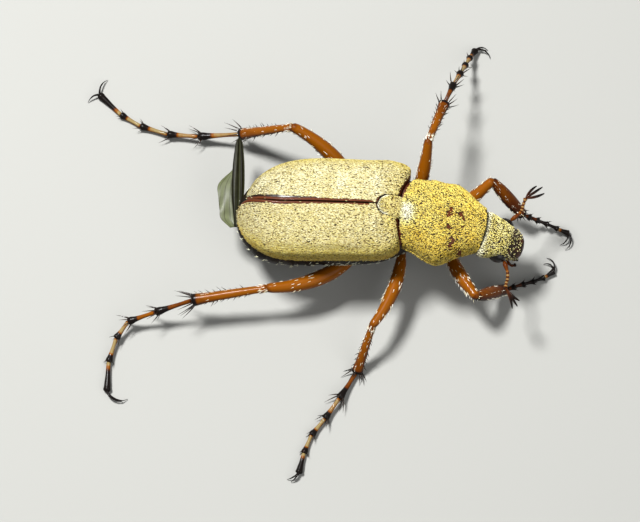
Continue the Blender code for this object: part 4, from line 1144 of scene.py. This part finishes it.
def footAndClaws(leg, pair, name, joints):
    # five joints end to end, then two claws that taper as a power of what is left of their length
    thick, sides = limbShape["tarsusThick"][pair], limbShape["footSides"]
    # four tarsal joints, pale or rusty at the root and black and swollen at the end
    tubes, tones = [], []
    for number, start in enumerate(legTones["tarsus"].get(leg, legTones["tarsus"][pair])):
        tube, share = limbTube(joints[2 + number], joints[3 + number], limbShape["tarsus"],
                               thick * (1 - limbShape["thinner"] * number), sides=sides)
        tone = start + 0.3 * (1 - smoothStep(0, 0.08, share)) + 0.8 * smoothStep(0.6, 0.74, share)
        tubes.append(tube)
        tones.append(shadeRound(tone, sides, legTones["paintedShade"]["tarsus"])[0])
    tubePiece(name + "Foot", np.stack(tubes), "leg", (leg + "_tarsus",), np.stack(tones))
    # the last joint and its pair of cleft claws
    last = limbTube(joints[6], joints[7], limbShape["lastJoint"], thick, sides=sides)[0]
    tubes = [last]
    share = np.linspace(0, 1, len(last))
    for first, final, length in legPoses[leg]["claws"]:
        path = clawPath(joints, first, final, length, share)
        radius = claw["thick"] * (1 - claw["taper"] * share) ** 0.9
        tubes.append(ringsAlong(path, radius * claw["flat"], radius, sides))
        split = int(claw["fork"] * len(path))
        way = unit(path[split + 1] - path[split])
        sink = np.array([0, 0, 1]) * (share * claw["toothSink"])[:, None]
        tooth = path[split] + way * (share * claw["toothLength"] * length)[:, None] - sink
        tooth[:, 2] = np.maximum(tooth[:, 2], claw["toothLow"])
        radius = claw["toothThick"] * (1 - claw["toothTaper"] * share)
        tubes.append(ringsAlong(tooth, radius, radius, sides))
    grid = np.stack(tubes)
    grid[..., 2] = np.maximum(grid[..., 2], 0.0)
    tone = np.full(grid.shape[:3], 1.1)
    tone[0] = (0.2 + 0.9 * smoothStep(0.12, 0.4, share))[:, None]
    tubePiece(name + "Claws", grid, "leg", (leg + "_claws",), tone)


def strayThorns(limb, ring, angles, shares, size):
    # spurs at these angles round a limb, each with its own random stray in angle, length and lean
    count = len(angles)
    angles = angles + rng.uniform(-ring["turn"], ring["turn"], count)
    if shares is None:
        shares = rng.uniform(*ring["shares"], count)
    lengths = size * rng.uniform(*ring["size"], count)
    return thornsOnLimb(*limb, shares, angles, np.full(count, ring["reach"]), lengths,
                        rng.uniform(*ring["lean"], count))


def legSpurs(pair, name, joints):
    # black spurs: rings at the shin's end and at each tarsal joint's end, rows down the shin
    sizes, shin = spurSizes[pair], joints[1:3]
    ring, rows, ends = spurRings["shinEnd"], spurRings["shinSides"], spurRings["jointEnds"]
    groups = [strayThorns(shin, ring, np.linspace(*ring["round"], ring["count"]), None, sizes["tibia"])]
    shares = np.linspace(*rows["shares"], rows["count"])
    angles = np.where(np.arange(rows["count"]) % 2, *rows["round"])
    groups.append(strayThorns(shin, rows, angles, shares, sizes["shaft"] * (0.45 + 0.75 * shares)))
    for number, count in enumerate(ends["counts"]):
        groups.append(strayThorns(joints[2 + number:4 + number], ends, np.linspace(*ends["round"], count),
                                  np.full(count, ends["share"]), sizes["tarsus"][number]))
    joinThorns(name + "Spurs", groups, thornThick["spur"], "black", 4, 4)


def legBristles(side, name, joints, sizes, bow, shape):
    # pale bristles: flat ones over thigh and shin, a fringe under the thigh, tufts at the knee
    hip, knee, ankle = joints[:3]
    groups = []
    for place, hairs in bristleSets.items():
        count = hairs["count"]
        limb, bend = ((hip, knee), bow) if place in ("thigh", "fringe") else ((knee, ankle), (0, 0, 0))
        if place == "fringe":
            shares, angles = np.linspace(*hairs["shares"], count), rng.normal(fringeAngle[side], 12, count)
        elif place == "shin":
            shares = rng.uniform(*hairs["shares"], count)
            angles = rng.integers(0, 6, count) * 60 + rng.normal(0, 7, count)
        else:
            shares, angles = rng.uniform(*hairs["shares"], count), rng.uniform(0, 360, count)
        thick = np.ones(count)
        if place != "knee":
            size, table = (sizes["shin"], shape) if place == "shin" else (sizes["thick"], limbShape["femur"])
            thick = size * curveThrough(*table, shares)
        lengths = rng.uniform(*hairs["size"], count)
        groups.append(thornsOnLimb(*limb, shares, angles, thick * hairs["reach"], lengths,
                                   rng.uniform(*hairs["lean"], count), bend))
    joinThorns(name + "Bristles", groups, thornThick["bristle"], "hair", 3, 3)


def buildLeg(leg):
    # limbs, foot, spurs and bristles of one leg, in this order for the random draws
    pair, side = leg.split("_")
    name, joints, bow = pair + side.capitalize(), legJoints(leg), femurBow(leg)
    shape = limbShape["frontTibia" if pair == "front" else "tibia"]
    thighAndShin(leg, pair, name, joints, bow, shape)
    footAndClaws(leg, pair, name, joints)
    legSpurs(pair, name, joints)
    legBristles(side, name, joints, legSizes[pair], bow, shape)


for leg in legPoses:
    buildLeg(leg)
print("legs done")


feelers = {
    "left": {"path": ((7.60, 1.45, 2.82), (7.80, 1.58, 2.88), (8.00, 1.76, 2.93), (8.07, 1.92, 2.97),
                      (8.12, 2.10, 3.01), (8.20, 2.30, 3.08)),
             "tips": ((8.66, 2.84), (8.88, 2.76), (8.94, 2.46))},
    "right": {"path": ((7.30, -0.20, 2.72), (7.38, -0.45, 2.75), (7.44, -0.70, 2.76), (7.43, -0.95, 2.79),
                       (7.38, -1.14, 2.80), (7.34, -1.34, 2.82)),
              "tips": ((7.60, -2.16), (7.80, -2.10), (7.88, -1.90))},
}
feelerForm = {
    "rings": 90, "leafRings": 30, "sides": 14,
    "thick": 0.05,                  # mm, as are the heights below
    "firstJoint": (0.045, 0.16, 0.12),    # its swelling, the share of the length where it lies, and spread
    "beads": (0.02, 7, 0.36),       # height, number, and the share of the length where they begin
    "headSwell": 0.03,
    "leafWide": 0.105, "leafRise": 0.12, "leafCurl": 0.05,
}


def feeler(side):
    # a jointed stalk, swollen at its first joint and beaded by |sin|, then three thin leaves
    settings, sides = feelers[side], feelerForm["sides"]
    keys = np.linspace(0, 1, len(settings["path"]))
    share = np.linspace(0, 1, feelerForm["rings"])
    path = curveThrough(keys, np.array(settings["path"]), share)
    swelling, *place = feelerForm["firstJoint"]
    bead, number, begin = feelerForm["beads"]
    radius = (feelerForm["thick"] + swelling * hump(share, *place)
              + bead * np.abs(np.sin(math.pi * number * share)) * (share > begin)
              + feelerForm["headSwell"] * smoothStep(0.9, 1.0, share))
    radius = radius * np.clip(np.minimum(share, 1 - share) / 0.012, 0.15, 1) ** 0.5
    tone = 0.72 + (0.40 * np.cos(fullTurn * number * share) - 0.20) * smoothStep(0.3, 0.4, share)
    tubePiece("feeler" + side.capitalize(), ringsAlong(path, radius, radius, sides)[None], "leg",
              ("antenna_" + side,), np.tile(tone[None, :, None], (1, 1, sides)))
    root = path[-1]
    share = np.linspace(0, 1, feelerForm["leafRings"])
    leaves = []
    for number, (x, y) in enumerate(settings["tips"]):
        tip = np.array([x, y, root[2] + feelerForm["leafRise"] * (number - 1)])
        curl = np.cross(unit(tip - root), (0, 0, 1)) * feelerForm["leafCurl"] * (number - 1)
        middle = root + (tip - root) * share[:, None] + curl * (4 * share * (1 - share))[:, None]
        wide = feelerForm["leafWide"] * np.sin(math.pi * np.clip(share * 0.94 + 0.04, 0, 1)) ** 0.45
        leaves.append(ringsAlong(middle, wide * 0.5, wide, sides))
    tone = 0.66 + 0.2 * smoothStep(0.2, 0.9, share)[:, None] + 0.2 * np.abs(np.sin(roundAngles(sides)))
    tubePiece("feelerClub" + side.capitalize(), np.stack(leaves), "leg", ("antenna_club_" + side,),
              np.tile(tone, (3, 1, 1)))


for side in feelers:
    feeler(side)

mouth = {
    "start": 0.55, "reach": 0.95,       # mm ahead at the back, and from there to the front
    "stations": (0.55, 0.7, 0.95, 1.2, 1.4, 1.5),
    "widths": (0.2, 0.4, 0.5, 0.46, 0.34, 0.12),
    "bottoms": (1.5, 1.62, 1.62, 1.68, 1.78, 1.92),
    "middle": 2.1, "above": 0.25, "rows": 40, "sides": 28,
    "tone": 0.85,
    "palps": (((0.95, 0.28, 1.80), (1.06, 0.44, 1.66), (1.20, 0.54, 1.62), (1.32, 0.54, 1.64),
               (1.42, 0.48, 1.68)),
              ((0.90, 0.14, 1.70), (1.05, 0.2, 1.55), (1.22, 0.26, 1.52), (1.34, 0.26, 1.56),
               (1.44, 0.22, 1.62))),
    # thickness, height of the joints' swellings and of the end's, number of joints, rings and sides
    "palpThick": 0.045, "palpBead": 0.02, "palpEnd": 0.012, "palpJoints": 4, "palpRings": 60, "palpSides": 12,
}


def mouthParts():
    # a small rounded block under the face shield and two pairs of jointed palps
    share = np.linspace(0, 1, mouth["rows"])
    ahead = mouth["start"] + mouth["reach"] * np.sin(0.5 * math.pi * share)
    width, bottom = (curveThrough(mouth["stations"], mouth[key], ahead) for key in ("widths", "bottoms"))
    angle = roundAngles(mouth["sides"])
    y = width[:, None] * bent(np.cos(angle), 0.8)
    rise = np.where(np.sin(angle) > 0, mouth["above"], mouth["middle"] - bottom[:, None])
    z = mouth["middle"] + rise * bent(np.sin(angle), 0.8)
    grid = stand(headPlace, ahead[:, None], y, z)[None]
    tubePiece("mouth", grid, "leg", ("mouthparts",), np.full(grid.shape[:3], mouth["tone"]))
    tubes = []
    share = np.linspace(0, 1, mouth["palpRings"])
    for hand in (1, -1):
        for joints in mouth["palps"]:
            joints = np.array([(x, hand * y, z) for x, y, z in joints])
            joints = stand(headPlace, joints[:, 0], joints[:, 1], joints[:, 2])
            path = curveThrough(np.linspace(0, 1, len(joints)), joints, share)
            bead = np.abs(np.sin(math.pi * mouth["palpJoints"] * share))
            radius = (mouth["palpThick"] + mouth["palpBead"] * bead
                      + mouth["palpEnd"] * smoothStep(0.75, 0.9, share))
            radius = radius * np.clip(np.minimum(share, 1 - share) / 0.03, 0.1, 1) ** 0.5
            tubes.append(ringsAlong(path, radius, radius, mouth["palpSides"]))
    tone = 0.78 + 0.2 * smoothStep(0.7, 1, share)
    tubePiece("palps", np.stack(tubes), "leg", (),
              np.tile(tone[None, :, None], (len(tubes), 1, mouth["palpSides"])))


mouthParts()
print("feelers and mouth done")


hindWing = {
    "root": (-3.32, 1.30, 2.42), "tip": (-3.26, 5.14, 2.15), "rows": 90, "across": 48,
    # share of the length against half width of the blade, and against the depth of the flap behind it
    "bladeShares": (0.0, 0.14, 0.36, 0.7, 0.86, 0.96, 1.0),
    "bladeHalf": (0.12, 0.17, 0.25, 0.235, 0.18, 0.12, 0.03),
    "flapShares": (0.0, 0.08, 0.2, 0.34, 0.45, 0.56, 0.68),
    "flapDepth": (0.12, 0.48, 0.56, 0.62, 0.66, 0.40, 0.03),
    "pleats": 3,
    "bladeThick": 0.045, "pleatDepth": 0.03,
    "flapThick": 0.025, "flapDroop": 0.10,
}


def wingBlade(root, tip):
    # a flat strip folded in pleats, thickness 0.045 + 0.03 cos of the place across it
    share, angle = np.meshgrid(np.linspace(0, 1, hindWing["rows"]), roundAngles(hindWing["across"]),
                               indexing="ij")
    middle = root + (tip - root) * share[..., None]
    half = curveThrough(hindWing["bladeShares"], hindWing["bladeHalf"], share)
    out = np.cos(angle)
    pleat = np.cos(math.pi * hindWing["pleats"] * out + 0.5 + 1.2 * share)
    thick = hindWing["bladeThick"] + hindWing["pleatDepth"] * pleat
    thick = thick * bent(np.sin(angle), 0.7) * np.clip((1 - share) / 0.03, 0.1, 1)
    lift = 0.07 * hump(out, -0.45, 0.2) - 0.04 * share * out
    grid = middle + np.stack([half * out, 0 * out, thick + lift], -1)
    tone = 0.9 + 0.12 * pleat - 0.25 * hump(out, 0.1, 0.14) * (np.sin(angle) > 0)
    tubePiece("hindWingBlade", grid[None], "wing", ("hindwing",), tone[None])


def wingFlap(root, tip):
    # a clear sheet behind the blade, its depth read from the table, crumpled by two crossed sines
    # and drooping as the square of the way out
    share, out = np.meshgrid(np.linspace(0, 1, hindWing["rows"]), np.linspace(0, 1, hindWing["across"]),
                             indexing="ij")
    along = share * hindWing["flapShares"][-1]
    middle = root + (tip - root) * along[..., None]
    depth = curveThrough(hindWing["flapShares"], hindWing["flapDepth"], along)
    wave = (0.03 * np.sin(5 * out + 5 * share) * out + 0.02 * np.sin(11 * share + 2 * out) * out
            - hindWing["flapDroop"] * out ** 2)
    inner = curveThrough(hindWing["bladeShares"], hindWing["bladeHalf"], along) - 0.06
    inner = inner - 0.16 * (1 - smoothStep(0.0, 0.3, along))
    back = -inner - (depth + 0.16 - inner) * out
    top = middle + np.stack([back, 0.06 * np.sin(11 * share) * out, wave + 0.01], -1)
    sheet = np.concatenate([top, (top - np.array([0, 0, hindWing["flapThick"]]))[:, ::-1]], 1)
    veins = hump((3 * out + 1.6 * share) % 1, 0.5, 0.06) + 0.7 * hump(out, 1.0, 0.03)
    tone = 0.22 + 0.35 * veins + 0.45 * (1 - smoothStep(0.0, 0.3, out)) + 0.08 * waves(top, 0.5, 36)
    tubePiece("hindWingFlap", sheet[None], "wing", (), np.concatenate([tone, tone[:, ::-1]], 1)[None])


for wingPiece in (wingBlade, wingFlap):
    wingPiece(np.array(hindWing["root"]), np.array(hindWing["tip"]))
print("hind wing done")


studio = {
    "target": (-0.384, -0.649, 2.0),    # mm, the picture's middle
    "distance": 110.0,
    "lean": 16.0,                       # degrees from straight down, toward the right side
    "lens": 154.69, "film": 36.0,
    "nearest": 0.005, "farthest": 10.0,    # metres
    "keyPlace": (-45, 40, 125), "keySize": 30, "keyPower": 0.45,
    "fillPlace": (70, -60, 90), "fillSize": 120, "fillPower": 0.08,
    "sky": 0.22, "skyColour": (0.95, 0.98, 1.0, 1),
    "floorReach": 0.25, "floorLow": 0.00002,    # metres
    "floorColour": screen(146, 146, 142), "floorRoughness": 0.85,
}


def areaLight(name, place, size, power):
    # a round lamp at a place measured from the target, turned to it
    target = np.array(studio["target"])
    lamp = bpy.data.lights.new(name, "AREA")
    lamp.shape, lamp.size, lamp.energy = "DISK", size * millimetre, power
    item = bpy.data.objects.new(name, lamp)
    spot = target + np.array(place)
    item.location = (spot * millimetre).tolist()
    item.rotation_euler = Vector((target - spot).tolist()).to_track_quat("-Z", "Y").to_euler()
    bpy.context.scene.collection.objects.link(item)


def studioFloor():
    # a flat square just under the feet
    reach = studio["floorReach"]
    corners = [(-reach, -reach, 0), (reach, -reach, 0), (reach, reach, 0), (-reach, reach, 0)]
    mesh = bpy.data.meshes.new("floor")
    mesh.from_pydata(corners, [], [(0, 1, 2, 3)])
    sockets = {"Base Color": studio["floorColour"], "Roughness": studio["floorRoughness"]}
    mesh.materials.append(startLook("paleFloor", sockets)[0])
    floor = bpy.data.objects.new("floor", mesh)
    floor.location.z = -studio["floorLow"]
    bpy.context.scene.collection.objects.link(floor)


def studioCamera():
    # straight above the target, then leaned back by its angle at the same distance
    lean = math.radians(studio["lean"])
    camera = bpy.data.cameras.new("camera")
    camera.lens, camera.sensor_width = studio["lens"], studio["film"]
    camera.clip_start, camera.clip_end = studio["nearest"], studio["farthest"]
    viewer = bpy.data.objects.new("camera", camera)
    spot = np.array(studio["target"]) + studio["distance"] * np.array([0, -math.sin(lean), math.cos(lean)])
    viewer.location = (spot * millimetre).tolist()
    viewer.rotation_euler = (lean, 0, 0)
    bpy.context.scene.collection.objects.link(viewer)
    bpy.context.scene.camera = viewer


def studioLight():
    # the two lamps and an even sky
    for name in ("key", "fill"):
        areaLight(name + "Light", studio[name + "Place"], studio[name + "Size"], studio[name + "Power"])
    world = bpy.data.worlds.new("studioSky")
    world.use_nodes = True
    background = world.node_tree.nodes["Background"]
    background.inputs["Color"].default_value = studio["skyColour"]
    background.inputs["Strength"].default_value = studio["sky"]
    bpy.context.scene.world = world
    bpy.context.scene.view_settings.view_transform = "Standard"


studioFloor()
studioCamera()
studioLight()
print("scene ready")
